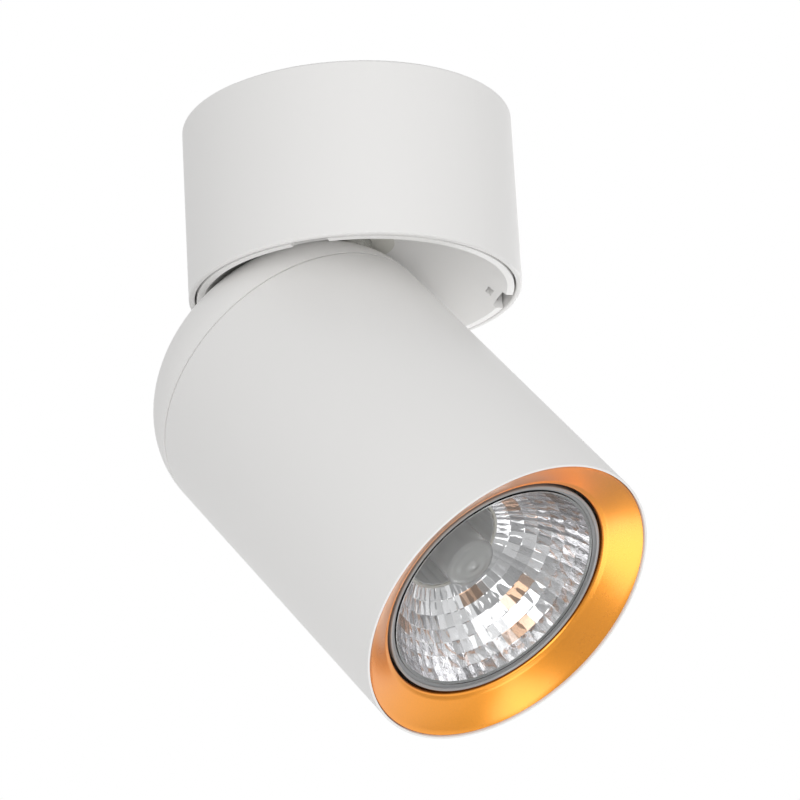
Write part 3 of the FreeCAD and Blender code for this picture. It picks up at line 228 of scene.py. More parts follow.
def new_group(name, inputs, outputs):
    """An empty node group with sockets. Returns its tree and its input and output nodes."""
    tree = bpy.data.node_groups.new(name, "ShaderNodeTree")
    for label, kind, default in inputs:
        socket = tree.interface.new_socket(label, in_out="INPUT", socket_type="NodeSocket" + kind)
        socket.default_value = default
    for label, kind in outputs:
        tree.interface.new_socket(label, in_out="OUTPUT", socket_type="NodeSocket" + kind)
    return tree, tree.nodes.new("NodeGroupInput"), tree.nodes.new("NodeGroupOutput")


# %% [markdown]
# ## Grain, shared by every finish
# Powder coat, anodised metal, plated steel and mouldings all have a fine grain, which shows as a
# slight change of colour and gloss and as a small bump. One group makes it from two noises, a fine
# one and a wide, cloudy one. The group's sockets are what a finish can set, so that one recipe
# serves them all.

# %% Open the grain group
grain_group, gin, gout = new_group(
    "Fine grain",
    [("Scale", "Float", 900.0), ("Colour", "Color", (1, 1, 1, 1)), ("Tint", "Float", 0.04),
     ("Roughness", "Float", 0.4), ("Spread", "Float", 0.05)],
    [("Colour", "Color"), ("Roughness", "Float"), ("Height", "Float")])
print("group:", grain_group.name)

# %% [markdown]
# ## How the two noises become grain
# The mean of the two noises, less a half, swings about zero. Times Tint and plus one it scales the
# colour, and times Spread it is added to the roughness. The fine noise alone is the height of the
# bump, because only the fine grain is a relief.

# %% Wire the grain group
place = add(grain_group, "ShaderNodeTexCoord")
fine = add(grain_group, "ShaderNodeTexNoise", {"Detail": 3.0, "Roughness": 0.6})
cloud = add(grain_group, "ShaderNodeTexNoise", {"Scale": 38.0, "Detail": 2.0})
centred = add(grain_group, "ShaderNodeMath", {1: 0.5}, operation="SUBTRACT")
mixed = add(grain_group, "ShaderNodeMath", {1: 0.5}, operation="MULTIPLY_ADD")
half_cloud = add(grain_group, "ShaderNodeMath", {1: 0.5}, operation="MULTIPLY")
brightness = add(grain_group, "ShaderNodeMath", {2: 1.0}, operation="MULTIPLY_ADD")
tinted = add(grain_group, "ShaderNodeVectorMath", operation="SCALE")
rough = add(grain_group, "ShaderNodeMath", operation="MULTIPLY_ADD", use_clamp=True)
join(grain_group,
     (place.outputs["Object"], fine.inputs["Vector"]),
     (place.outputs["Object"], cloud.inputs["Vector"]),
     (gin.outputs["Scale"], fine.inputs["Scale"]),
     (cloud.outputs["Fac"], half_cloud.inputs[0]),
     (fine.outputs["Fac"], mixed.inputs[0]), (half_cloud.outputs[0], mixed.inputs[2]),
     (mixed.outputs[0], centred.inputs[0]),
     (centred.outputs[0], brightness.inputs[0]), (gin.outputs["Tint"], brightness.inputs[1]),
     (gin.outputs["Colour"], tinted.inputs[0]), (brightness.outputs[0], tinted.inputs["Scale"]),
     (tinted.outputs["Vector"], gout.inputs["Colour"]),
     (centred.outputs[0], rough.inputs[0]), (gin.outputs["Spread"], rough.inputs[1]),
     (gin.outputs["Roughness"], rough.inputs[2]), (rough.outputs[0], gout.inputs["Roughness"]),
     (fine.outputs["Fac"], gout.inputs["Height"]))
print("grain:", len(grain_group.nodes), "nodes")

# %% [markdown]
# ## A finish is a colour with grain
# Every finish is one Principled material with its own copy of the grain. The grain's scale is how
# many of its spots fit in a metre, and its bump is its height in metres, so that both are of the
# real size: a powder coat is coarser than an anodised surface.

# %% Define a grained finish
def grained(name, colour, roughness, scale, tint, spread, bump, **shader_values):
    """A finish of one colour with the fine grain in its colour, its gloss and its surface."""
    material, shader = start(name, roughness=roughness, **shader_values)
    tree = material.node_tree
    values = {"Scale": scale, "Colour": (*colour, 1), "Tint": tint, "Roughness": roughness,
              "Spread": spread}
    group = add(tree, "ShaderNodeGroup", node_tree=grain_group)
    for label, value in values.items():
        group.inputs[label].default_value = value
    lift = add(tree, "ShaderNodeBump", {"Strength": 1.0, "Distance": bump})
    join(tree, (group.outputs["Colour"], shader.inputs["Base Color"]),
         (group.outputs["Roughness"], shader.inputs["Roughness"]),
         (group.outputs["Height"], lift.inputs["Height"]),
         (lift.outputs["Normal"], shader.inputs["Normal"]))
    return material


# %% [markdown]
# ## The finishes that show
# The body of the light is powder coated in a soft, slightly warm white: matt, with a faint
# orange-peel surface. The dish is glossier, because the dome slides in it, and its white is a little
# lighter, as painted light that lifts the shade in its bowl. The ring is anodised in a warm gold under
# a clear sealed layer, with a satin grain. Colours are linear, so the gold is a stronger orange here
# than it looks in a picture.

# %% Make the coated finishes
white_coat = grained("White powder coat", (0.92, 0.912, 0.9), roughness=0.45,
                     scale=700.0, tint=0.015, spread=0.08, bump=4e-6)
# Painted light: this white is a little lighter than the canopy's, to lift the shade in the dish's bowl.
white_gloss_painted_light = grained("White gloss coat", (0.955, 0.948, 0.936), roughness=0.3,
                      scale=420.0, tint=0.01, spread=0.06, bump=3e-6)
gold_coat = grained("Gold anodised", (0.96, 0.35, 0.02), roughness=0.3,
                    scale=2600.0, tint=0.3, spread=0.25, bump=3e-6,
                    metallic=1.0, coat=1.0, coat_roughness=0.2)
print("coats:", white_coat.name, white_gloss_painted_light.name, gold_coat.name)

# %% [markdown]
# ## The finishes of the lamp
# The lamp is glass. Its mirror is glass under a film of aluminium, so its material is metal, and
# its rim is bare pressed glass with something dark behind it. The neck is frosted white, because
# its flutes scatter light. The cover glass is clear, and the quartz of the capsule is a little
# milky, so part of what is seen there is the quartz itself.

# %% Make the finishes of the lamp
rim_glass = grained("Pressed glass rim", (0.34, 0.345, 0.35), roughness=0.18,
                    scale=500.0, tint=0.05, spread=0.1, bump=4e-6, coat=0.6)
mirror = grained("Aluminised mirror", (0.84, 0.83, 0.85), roughness=0.04,
                 scale=900.0, tint=0.03, spread=0.04, bump=2e-7, metallic=1.0)
neck_mirror = grained("Neck mirror", (0.97, 0.965, 0.96), roughness=0.3,
                      scale=900.0, tint=0.03, spread=0.1, bump=1e-6)
clear_glass = grained("Cover glass", (0.97, 0.98, 0.975), roughness=0.01,
                      scale=600.0, tint=0.004, spread=0.01, bump=1e-7, transmission=1.0, ior=1.46)
quartz = grained("Quartz glass", (0.97, 0.97, 0.965), roughness=0.12,
                 scale=700.0, tint=0.02, spread=0.06, bump=1e-6, transmission=0.62, ior=1.46)
print("lamp:", rim_glass.name, mirror.name, neck_mirror.name, clear_glass.name, quartz.name)

# %% [markdown]
# ## Painted reflections on the mirror's tiles
# Each tile of a pressed mirror sends back light from a direction of its own, so neighbours differ
# in brightness, and those that catch the gold ring look warm. Here these reflections are painted:
# two numbers on every face set how bright the painted reflection of its tile is and how much of
# the gold ring's warm reflection is painted on it. They belong to the mesh and not to the view, so
# the painted reflections stay the same from every side. The first scales the mirror's colour, and
# the second tints it.

# %% Paint reflections on the mirror's tiles
# Painted reflection of the gold ring: a warm tint multiplied into the mirror's colour.
RING_REFLECTION_TINT = (0.78, 0.5, 0.33, 1)
MIX_FACTOR, MIX_BASE, MIX_TINT, MIX_RESULT = 0, 6, 7, 2
reflection_tone_tree = mirror.node_tree
painted_reflection_tone = add(reflection_tone_tree, "ShaderNodeAttribute", attribute_name="painted_reflection_tone")
ring_reflection_mask = add(reflection_tone_tree, "ShaderNodeAttribute", attribute_name="painted_ring_reflection")
grain_node = next(node for node in reflection_tone_tree.nodes if node.type == "GROUP")
# Painted reflection brightness: each tile's number scales the mirror's colour.
reflection_toned = add(reflection_tone_tree, "ShaderNodeVectorMath", operation="SCALE")
ring_reflection_tinted = add(reflection_tone_tree, "ShaderNodeMix", {MIX_TINT: RING_REFLECTION_TINT},
             data_type="RGBA", blend_type="MULTIPLY")
join(reflection_tone_tree,
     (grain_node.outputs["Colour"], reflection_toned.inputs[0]), (painted_reflection_tone.outputs["Fac"], reflection_toned.inputs["Scale"]),
     (reflection_toned.outputs["Vector"], ring_reflection_tinted.inputs[MIX_BASE]),
     (ring_reflection_mask.outputs["Fac"], ring_reflection_tinted.inputs[MIX_FACTOR]),
     (ring_reflection_tinted.outputs[MIX_RESULT], reflection_tone_tree.nodes["Principled BSDF"].inputs["Base Color"]))
print("tile tones:", painted_reflection_tone.attribute_name, ring_reflection_mask.attribute_name)

# %% [markdown]
# ## The finishes inside
# The small parts inside are plated or zinc-coated steel, brass, nylon, rubber and unglazed ceramic.
# They show only when the ring or the canopy is off, or from above, and each has the gloss and the
# grain of its own stuff.

# %% Make the finishes inside
plated = grained("Plated steel", (0.62, 0.62, 0.61), roughness=0.28,
                 scale=1500.0, tint=0.1, spread=0.2, bump=2e-6, metallic=1.0)
sheet_steel = grained("Zinc sheet steel", (0.5, 0.51, 0.52), roughness=0.36,
                      scale=900.0, tint=0.2, spread=0.25, bump=4e-6, metallic=1.0)
brass = grained("Brass", (0.78, 0.56, 0.22), roughness=0.3,
                scale=1500.0, tint=0.1, spread=0.2, bump=2e-6, metallic=1.0)
nylon = grained("Nylon", (0.8, 0.79, 0.74), roughness=0.45,
                scale=500.0, tint=0.03, spread=0.1, bump=4e-6)
rubber = grained("Rubber", (0.03, 0.03, 0.03), roughness=0.6,
                 scale=800.0, tint=0.2, spread=0.2, bump=8e-6)
ceramic = grained("Steatite ceramic", (0.8, 0.77, 0.7), roughness=0.5,
                  scale=1200.0, tint=0.06, spread=0.15, bump=8e-6)
tungsten = grained("Tungsten", (0.3, 0.3, 0.31), roughness=0.35,
                   scale=3000.0, tint=0.2, spread=0.2, bump=2e-6, metallic=1.0)
print("inside:", plated.name, sheet_steel.name, brass.name, nylon.name, rubber.name)

# %% [markdown]
# ## Finishes for the CAD nodes
# The record names a material slot for every node. This table turns a slot into a finish, and every
# node gets its own. Most nodes keep their CAD shape, which is right as it is: only a piece whose
# edges or details show in the photograph is made again below. The dish alone leaves the table,
# because it is glossier than the canopy round it and its white is a little lighter, as painted light
# that lifts the shade in its bowl.

# %% Dress the CAD nodes
FINISHES = {
    "white_coat": white_coat, "gold_coat": gold_coat, "bracket_steel": sheet_steel,
    "plated_steel": plated, "brass": brass, "rubber": rubber, "nylon": nylon,
    "white_ceramic": ceramic, "mirror_glass": mirror, "cover_glass": clear_glass,
    "quartz_glass": quartz, "filament_wire": tungsten}


def finish(piece, material):
    """Give a piece one material on all its faces."""
    piece.data.materials.clear()
    piece.data.materials.append(material)


for part in frame["record"]["subparts"]:
    finish(nodes[part["node"]], FINISHES[part["material_slot"]])
# The dish's lighter white is painted light that lifts the shade in its bowl.
finish(nodes["swivel_dish"], white_gloss_painted_light)

# %% [markdown]
# ## Settling a new piece
# A new piece rides on a CAD body, so that it moves with it. The CAD node that it stands for, if
# any, is hidden.

# %% Settle a piece
def settle(piece, body, slot, material, *stands_for):
    """Put a finished piece on its body, hide the nodes that it stands for and give it its material."""
    finish(piece, material)
    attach(piece, body)
    if stands_for:
        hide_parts(*stands_for)
    print(f"{piece.name}: {len(piece.data.polygons)} faces on {body}")


# %% [markdown]
# ## The tube of the head
# The tube is a length of aluminium tube, turned at both ends. In front it has a thin lip with a
# seat, in which the ring lies. At the back its edge is stepped down a little, which leaves the fine
# shadow line where it meets the domed cap. The CAD tube gives the radii and the depths, and the
# small roundings of a coated edge are added, because it is these that catch the light.

# %% Turn the tube
NEAR, TINY = 0.1 * MM, 0.01 * MM
EDGE = 0.2 * MM
SHADOW_WIDTH, SHADOW_DEPTH = 0.32 * MM, 0.5 * MM
TUBE_SHARP = 30.0
bore = float(head_radii.min())
seat_depth = float(head_depths[head_radii < bore + NEAR].min())
in_seat = ((head_depths > seat_depth / 2) & (head_depths < seat_depth + TINY)
           & (head_radii < HEAD_RADIUS - NEAR))
seat_radius = float(head_radii[in_seat].max())
shadow_radius = HEAD_RADIUS - SHADOW_DEPTH
tube_outline = traced(
    bend((HEAD_RADIUS - EDGE, EDGE), EDGE, 0, -90, 5),
    bend((seat_radius + EDGE / 2, EDGE / 2), EDGE / 2, -90, -180, 3),
    [(seat_radius, seat_depth), (bore, seat_depth), (bore, SEAM)],
    [(shadow_radius, SEAM), (shadow_radius, SEAM - SHADOW_WIDTH)],
    bend((HEAD_RADIUS - EDGE, SEAM - SHADOW_WIDTH - EDGE), EDGE, 90, 0, 5))
tube = turned("head_tube_skin", tube_outline, TUBE_SHARP)
settle(tube, "head", "white_coat", white_coat, "head_tube")
print(f"tube: bore {bore / MM:.2f} mm, seat {seat_radius / MM:.2f} mm to {seat_depth / MM:.2f} mm")

# %% [markdown]
# ## The gold ring
# The ring is spun from thin aluminium: a flat edge that lies in the front of the tube, a wide
# funnel, a rounded mouth round the lamp and a straight skirt that slides into the tube. Its main
# radii and depths are read from the points of the CAD ring that lie near each of these places.

# %% Measure the gold ring
MEASURE_NEAR, RING_EDGE = 0.5 * MM, 0.15 * MM
ring_radii, ring_depths = on_axis("trim_ring")
ring_front, ring_end = float(ring_depths.min()), float(ring_depths.max())
mouth = float(ring_radii.min())
mouth_depth = float(ring_depths[ring_radii < mouth + MEASURE_NEAR].min())
skirt_radius = float(ring_radii[ring_depths > ring_end - MEASURE_NEAR].max())
flange_radius = float(ring_radii.max()) + RING_EDGE
print(f"ring: mouth {mouth / MM:.2f} mm at {mouth_depth / MM:.2f} mm")

# %% [markdown]
# ## The funnel of the ring
# The funnel isn't quite a straight cone: spinning leaves it very slightly full, here as a parabola
# that is zero at both ends, which draws the reflections in it out into soft bands. At its foot an
# arc leads into the mouth. The outline then goes back outside along the funnel's wall, down the
# skirt and up again to the flat edge.

# %% Turn the gold ring
WALL, LIP_ROUND, SWELL = 1.0 * MM, 0.9 * MM, 0.12 * MM
RING_FLANGE, SKIRT_STARTS, MOUTH_LENGTH = 1.2 * MM, 2.2 * WALL, 1.5 * WALL
FUNNEL_FROM, FUNNEL_POINTS, RING_SHARP = 0.1, 14, 25.0
down = np.linspace(FUNNEL_FROM, 1, FUNNEL_POINTS)
funnel = np.column_stack([
    flange_radius + (mouth + LIP_ROUND - flange_radius) * down,
    ring_front + (mouth_depth - ring_front) * down - SWELL * 4 * down * (1 - down)])
ring_outline = traced(
    [(flange_radius, ring_front + RING_EDGE), (flange_radius - RING_EDGE, ring_front)],
    funnel,
    bend((mouth + LIP_ROUND, mouth_depth + LIP_ROUND), LIP_ROUND, 240, 180, 9),
    [(mouth, mouth_depth + MOUTH_LENGTH), (mouth + WALL / 2, mouth_depth + MOUTH_LENGTH)],
    [(mouth + WALL, mouth_depth + WALL), (skirt_radius - WALL, ring_front + SKIRT_STARTS)],
    [(skirt_radius - WALL, ring_end), (skirt_radius, ring_end)],
    [(skirt_radius, ring_front + RING_FLANGE), (flange_radius, ring_front + RING_FLANGE)])
ring = turned("gold_ring", ring_outline, RING_SHARP)
settle(ring, "trim", "gold_coat", gold_coat, "trim_ring")

# %% [markdown]
# ## The lamp's main sizes
# The lamp is a reflector lamp: a bowl of pressed glass, closed by a flat cover glass in front and
# drawn in to a neck behind. The bowl's curve is the arc of a circle through its two ends, the edge
# of the cover glass and the start of the neck, which are read from the CAD nodes. The lamp's rim
# nearly fills the mouth of the ring, and the thin gap left between them is a dark line.

# %% Measure the lamp
LAMP_GAP, BOWL_CURVE = 0.6 * MM, 32.0 * MM
LAMP_RADIUS = mouth - LAMP_GAP
bowl_radii, bowl_depths = on_axis("lamp_reflector")
LAMP_FACE, BOWL_END = float(bowl_depths.min()), float(bowl_depths.max())
NECK = float(bowl_radii.min())
glass_radii, glass_depths = on_axis("lamp_cover_glass")
GLASS_RADIUS = float(glass_radii.max())
GLASS_FRONT, GLASS_BACK = float(glass_depths.min()), float(glass_depths.max())
BOWL_RADIUS = float(bowl_radii[np.abs(bowl_depths - GLASS_BACK) < NEAR / 2].min())


def bowl_arc(share):
    """The bowl's arc from its rim, share 0, to its neck, share 1: radius, depth, inward normal.

    The arc's centre lies on the middle line of the chord between both ends, one BOWL_CURVE away
    from either, and a point is that centre plus BOWL_CURVE times cosine and sine of its angle.
    """
    start_point, end_point = np.array([BOWL_RADIUS, GLASS_BACK]), np.array([NECK, BOWL_END])
    chord = end_point - start_point
    length = np.linalg.norm(chord)
    outward = np.array([chord[1], -chord[0]]) / length
    rise = math.sqrt(BOWL_CURVE ** 2 - (length / 2) ** 2)
    centre = (start_point + end_point) / 2 - outward * rise
    first = math.atan2(*(start_point - centre)[::-1])
    last = math.atan2(*(end_point - centre)[::-1])
    angle = first + (last - first) * np.asarray(share)
    cosine, sine = np.cos(angle), np.sin(angle)
    return centre[0] + BOWL_CURVE * cosine, centre[1] + BOWL_CURVE * sine, -cosine, -sine


print(f"bowl: {BOWL_RADIUS / MM:.2f} mm at {GLASS_BACK / MM:.2f} mm "
      f"to {NECK / MM:.2f} mm at {BOWL_END / MM:.2f} mm")

# %% [markdown]
# ## The tiles of the mirror
# The inner face of the bowl is divided into small tiles, in columns that run from the neck to the
# rim and in rings. Each tile is slightly domed, so that it spreads the light, and tiles differ a
# little in tilt, because the mould was cut tile by tile. A tile's dome is added along the bowl's
# own normal, as a product of two parabolas that are zero on the tile's edges. Round the axis each
# tile starts from a straight line, as a polygon's side is a chord of its circle, so that columns
# meet at fine edges.

# %% Shape the tiles
COLUMNS, RINGS, CUTS = 58, 7, 5
TILE_DOME, TILE_TILT, TILE_SEAM, SEED = 0.085 * MM, 0.16 * MM, 0.035, 11
luck = np.random.default_rng(SEED)
cut_places = np.linspace(TILE_SEAM, 1 - TILE_SEAM, CUTS)
within_turn, within_ring = np.tile(cut_places, COLUMNS), np.tile(cut_places, RINGS)
turn = (np.repeat(np.arange(COLUMNS), CUTS) + within_turn) / COLUMNS * 2 * math.pi
share = (np.repeat(np.arange(RINGS), CUTS) + within_ring) / RINGS
bowl_r, bowl_d, normal_r, normal_d = bowl_arc(share)
hump_round, hump_along = (4 * within * (1 - within) for within in (within_turn, within_ring))
dome = TILE_DOME * np.outer(hump_round, hump_along)
tilts = luck.uniform(-0.5, 0.5, (2, COLUMNS, RINGS)) * TILE_TILT
tilts_round, tilts_along = tilts.repeat(CUTS, axis=1).repeat(CUTS, axis=2)
slope_round = tilts_round * (within_turn - 0.5)[:, None]
slope_along = tilts_along * (within_ring - 0.5)[None, :]
lift = dome + slope_round + slope_along
chord = np.cos(math.pi / COLUMNS) / np.cos((within_turn - 0.5) * 2 * math.pi / COLUMNS)
inner_r = bowl_r[None, :] * chord[:, None] + lift * normal_r[None, :]
inner_d = bowl_d[None, :] + lift * normal_d[None, :]
print("tiles:", COLUMNS * RINGS, "from depth", round(float(inner_d.min() / MM), 2), "mm")

# %% [markdown]
# ## The back and the rim of the bowl
# Behind the tiles the glass has a wall of even thickness, so the back is the same arc moved out by
# that wall. In front it ends in the rim: a straight side, a round bead that catches the light as a
# bright ring, and a groove between the bead and the cover glass, which lies in a seat.

# %% Outline the back and the rim
OUTER_WALL, BACK_POINTS = 1.6 * MM, 12
SIDE_LENGTH, BACK_STARTS, BACK_INSIDE = 4.6 * MM, 4.8 * MM, 0.5 * MM
RIM_ROUND, GROOVE = 0.38 * MM, 0.8 * MM
seat = GLASS_RADIUS + NEAR
back_r, back_d, back_nr, back_nd = bowl_arc(np.linspace(1, 0, BACK_POINTS))
outside = np.column_stack([back_r - OUTER_WALL * back_nr, back_d - OUTER_WALL * back_nd])
kept = ((outside[:, 1] < BOWL_END - NEAR) & (outside[:, 0] < LAMP_RADIUS - BACK_INSIDE)
        & (outside[:, 1] > LAMP_FACE + BACK_STARTS))
rim_outline = traced(
    (NECK + OUTER_WALL, BOWL_END),
    outside[kept],
    (LAMP_RADIUS, LAMP_FACE + SIDE_LENGTH),
    bend((LAMP_RADIUS - RIM_ROUND, LAMP_FACE + RIM_ROUND), RIM_ROUND, 0, -180, 9),
    [(LAMP_RADIUS - 2 * RIM_ROUND, LAMP_FACE + GROOVE), (seat, LAMP_FACE + GROOVE)],
    (seat, GLASS_BACK))
print(f"rim: lamp {LAMP_RADIUS / MM:.2f} mm, glass {GLASS_RADIUS / MM:.2f} mm, "
      f"face {LAMP_FACE / MM:.2f} mm")

# %% [markdown]
# ## The mirror in one piece
# Tiles and rim are one closed grid: each step round the axis has the points of the tiles, from rim
# to neck, and then those of the back and the rim. The faces that aren't tiles get the material of
# bare glass. Edges stay sharp from a low angle on, so that every tile keeps its outline.

# %% Build the mirror
MIRROR_SHARP = 6.0
round_cells, ring_cells = COLUMNS * CUTS, RINGS * CUTS
rim_r, rim_d = np.broadcast_to(rim_outline.T[:, None], (2, round_cells, len(rim_outline)))
all_r, all_d = np.concatenate([inner_r, rim_r], axis=1), np.concatenate([inner_d, rim_d], axis=1)
bowl_points = place_on_head(all_r * np.cos(turn)[:, None], all_r * np.sin(turn)[:, None], all_d)
bowl = make_piece("lamp_mirror", bowl_points.reshape(-1, 3), loop_faces(*all_r.shape), MIRROR_SHARP)
settle(bowl, "lamp", "mirror_glass", mirror, "lamp_reflector")
bowl.data.materials.append(rim_glass)
across_outline = np.arange(len(bowl.data.polygons)) % all_r.shape[1]
on_rim = across_outline >= ring_cells - 1
bowl.data.polygons.foreach_set("material_index", on_rim.astype(np.int32))
print("faces on tiles and on the rim:", int((~on_rim).sum()), int(on_rim.sum()))

# %% [markdown]
# ## Painted bright, dark and warm reflections on the tiles
# Every tile gets a painted reflection brightness by chance: one minus a share of a random number
# raised to a power, so most are bright and a few are dark. Painted reflections of the gold ring lie
# together in curved warm strips, as real reflections of the ring do. The strips are where a wave
# round the bowl, whose start sways from ring to ring, times a wave along it comes near its top.
# Both numbers are written on the faces for the material to read.

# %% Write the painted reflections on the tiles
REFLECTION_DARKENING, DARK_POWER = 0.45, 1.4
WAVE_ROUND, SWAY, SWAY_ALONG = 0.37, 1.3, 1.8
WAVE_ALONG, WAVE_START = 1.4, 0.6
RING_REFLECTION_FROM, RING_REFLECTION_RISE = 0.86, 12
# Painted reflection: each tile's brightness stands in for the light it reflects.
reflection_brightness = 1.0 - REFLECTION_DARKENING * luck.random((COLUMNS, RINGS)) ** DARK_POWER
column_of = np.arange(len(bowl.data.polygons)) // all_r.shape[1] // CUTS
ring_of = np.minimum(across_outline // CUTS, RINGS - 1)
wave_round = np.sin(column_of * WAVE_ROUND + SWAY * np.sin(ring_of * SWAY_ALONG))
# Painted reflection of the gold ring: warm where the two waves come near their top together.
painted_ring_reflection = 0.5 + 0.5 * wave_round * np.sin(ring_of * WAVE_ALONG + WAVE_START)
face_reflection_tone = np.where(on_rim, 1.0, reflection_brightness[column_of, ring_of])
face_ring_reflection = np.where(on_rim, 0.0, np.clip((painted_ring_reflection - RING_REFLECTION_FROM) * RING_REFLECTION_RISE, 0, 1))
for label, values in (("painted_reflection_tone", face_reflection_tone), ("painted_ring_reflection", face_ring_reflection)):
    layer = bowl.data.attributes.new(label, "FLOAT", "FACE")
    layer.data.foreach_set("value", values.astype(np.float32))
print("warm share of the tiles:", round(float(face_ring_reflection[~on_rim].mean()), 3))

# %% [markdown]
# ## The fluted neck
# Behind the bowl the glass goes on as a narrow neck, in which the capsule is cemented. In the CAD
# model it is a plain well in the lamp's base, so its radius and its floor are read from there, and
# a thin lining in the well stands for the inside of the neck.

# %% Measure the well
well_radii, well_depths = on_axis("lamp_base")
WELL_RADIUS = float(well_radii[well_depths < well_depths.min() + 3 * NEAR].min())
WELL_FLOOR = float(well_depths[np.abs(well_radii - WELL_RADIUS) < NEAR].max())
print(f"neck: well {WELL_RADIUS / MM:.2f} mm down to {WELL_FLOOR / MM:.2f} mm")

# %% [markdown]
# ## The flutes of the neck
# The inside of the neck isn't smooth: it has fine upright flutes, which draw what shows in it out
# into streaks. The lining is a tube that narrows a little towards the floor. Its radius falls by
# the rectified sine of the angle, once for each flute, and a slow sine makes the flutes deeper on
# some sides than on others.

# %% Build the neck
FLUTES, POINTS_PER_FLUTE, FLUTE_DEPTH = 26, 8, 0.3 * MM
DEEP_SIDES, UNEVEN = 3, 0.4
NECK_WALL, NECK_GAP, NECK_POINTS = 0.15 * MM, 0.05 * MM, 12
NECK_TAPER, TAPER_LENGTH, FLOOR_GAP = 0.5 * MM, 12.0 * MM, 0.3 * MM
NECK_SHARP = 30.0
neck_steps = FLUTES * POINTS_PER_FLUTE
neck_turn = np.arange(neck_steps) / neck_steps * 2 * math.pi
flute_depths = FLUTE_DEPTH * (1 - UNEVEN + UNEVEN * np.sin(DEEP_SIDES * neck_turn))
flute = flute_depths * np.abs(np.sin(neck_turn * FLUTES / 2))
neck_depth = np.linspace(BOWL_END + NEAR, WELL_FLOOR - FLOOR_GAP, NECK_POINTS)
taper = NECK_TAPER * (neck_depth - BOWL_END) / TAPER_LENGTH
inner_neck = WELL_RADIUS - NECK_WALL - NECK_GAP - flute[:, None] - taper[None, :]
neck_r = np.concatenate([inner_neck, inner_neck[:, ::-1] + NECK_WALL], axis=1)
neck_d = np.broadcast_to(np.concatenate([neck_depth, neck_depth[::-1]]), neck_r.shape)
neck_x, neck_y = neck_r * np.cos(neck_turn)[:, None], neck_r * np.sin(neck_turn)[:, None]
neck_points = place_on_head(neck_x, neck_y, neck_d)
neck = make_piece("lamp_neck", neck_points.reshape(-1, 3), loop_faces(*neck_r.shape), NECK_SHARP)
settle(neck, "lamp", "mirror_glass", neck_mirror)

# %% [markdown]
# ## The capsule
# The capsule is a short quartz tube that is closed by a flat dome. Its end was drawn shut over a
# flame, which left rings round a small nub where the gas went in. On the dome, a quarter of an
# ellipse, the nub is a bell curve and the rings are a cosine that fades outwards. The foot is
# pinched flat on the real one, and here it narrows to a stem, because the cement hides it.

# %% Outline the capsule
CAPSULE_WALL, DOME_RISE, DOME_POINTS = 0.8 * MM, 1.5 * MM, 40
NUB, NUB_RISE, NUB_WIDTH = 0.4 * MM, 0.45 * MM, 0.16
DRAWN_RINGS, RING_HEIGHT = 3, 0.13 * MM
PINCH_LENGTH, SHOULDER, STEM = 3.0 * MM, 1.5 * MM, 1.2 * MM
capsule_radii, capsule_depths = on_axis("lamp_capsule")
CAPSULE_TIP, CAPSULE_FOOT = float(capsule_depths.min()), float(capsule_depths.max())
CAPSULE_RADIUS = float(capsule_radii.max())
pinch = CAPSULE_FOOT - PINCH_LENGTH
dome_share = np.linspace(0, 1, DOME_POINTS)
nub = NUB * np.exp(-(dome_share / NUB_WIDTH) ** 2)
drawn_rings = RING_HEIGHT * np.cos(dome_share * 2 * DRAWN_RINGS * math.pi) * (1 - dome_share)
quarter = dome_share * math.pi / 2
dome_depth = CAPSULE_TIP + NUB_RISE + DOME_RISE * (1 - np.cos(quarter)) - nub - drawn_rings
capsule_outline = traced(
    np.column_stack([CAPSULE_RADIUS * np.sin(quarter), dome_depth]),
    (CAPSULE_RADIUS, pinch),
    bend((CAPSULE_RADIUS - SHOULDER, pinch), SHOULDER, 0, 90, 6),
    [(STEM, pinch + SHOULDER), (STEM, CAPSULE_FOOT), (0.0, CAPSULE_FOOT)])
print(f"capsule: radius {CAPSULE_RADIUS / MM:.2f} mm "
      f"from {CAPSULE_TIP / MM:.2f} mm to {CAPSULE_FOOT / MM:.2f} mm")

# %% [markdown]
# ## The hollow of the capsule
# Quartz bends light at both faces of its wall, so the capsule needs an inner skin as well. The
# inner skin has a plainer dome, set in by the wall, and it closes above the foot. It is turned as a
# piece of its own, its faces are turned to look into the hollow, and the two become one mesh.

# %% Turn the capsule and its hollow
CAPSULE_SHARP, INNER_DOME = 40.0, 0.8
hollow_radius = CAPSULE_RADIUS - CAPSULE_WALL
hollow_tip = CAPSULE_TIP + NUB_RISE + CAPSULE_WALL
hollow_depth = hollow_tip + DOME_RISE * INNER_DOME * (1 - np.cos(quarter))
hollow_outline = traced(
    np.column_stack([hollow_radius * np.sin(quarter), hollow_depth]),
    [(hollow_radius, pinch - CAPSULE_WALL / 2), (hollow_radius - CAPSULE_WALL, pinch + 2 * NEAR)],
    (0.0, pinch + 3 * NEAR))
capsule = turned("lamp_capsule_glass", capsule_outline, CAPSULE_SHARP, ends_meet=False)
hollow = turned("lamp_capsule_cavity", hollow_outline, CAPSULE_SHARP, ends_meet=False)
hollow.data.flip_normals()
joined = bmesh.new()
joined.from_mesh(capsule.data)
joined.from_mesh(hollow.data)
joined.to_mesh(capsule.data)
joined.free()
bpy.data.objects.remove(hollow)
settle(capsule, "lamp", "quartz_glass", quartz, "lamp_capsule")

# %% [markdown]
# ## The cover glass
# A flat disc of clear glass closes the lamp. Its edge is fire-polished, which rounds it, and the
# rounding shows as a fine bright line all round. Its outline starts and ends on the axis. One more
# point on each face, just inside the rounding, keeps the smooth shading of the edge out of the big
# flat faces, which would otherwise bend what is seen through them as a lens does.

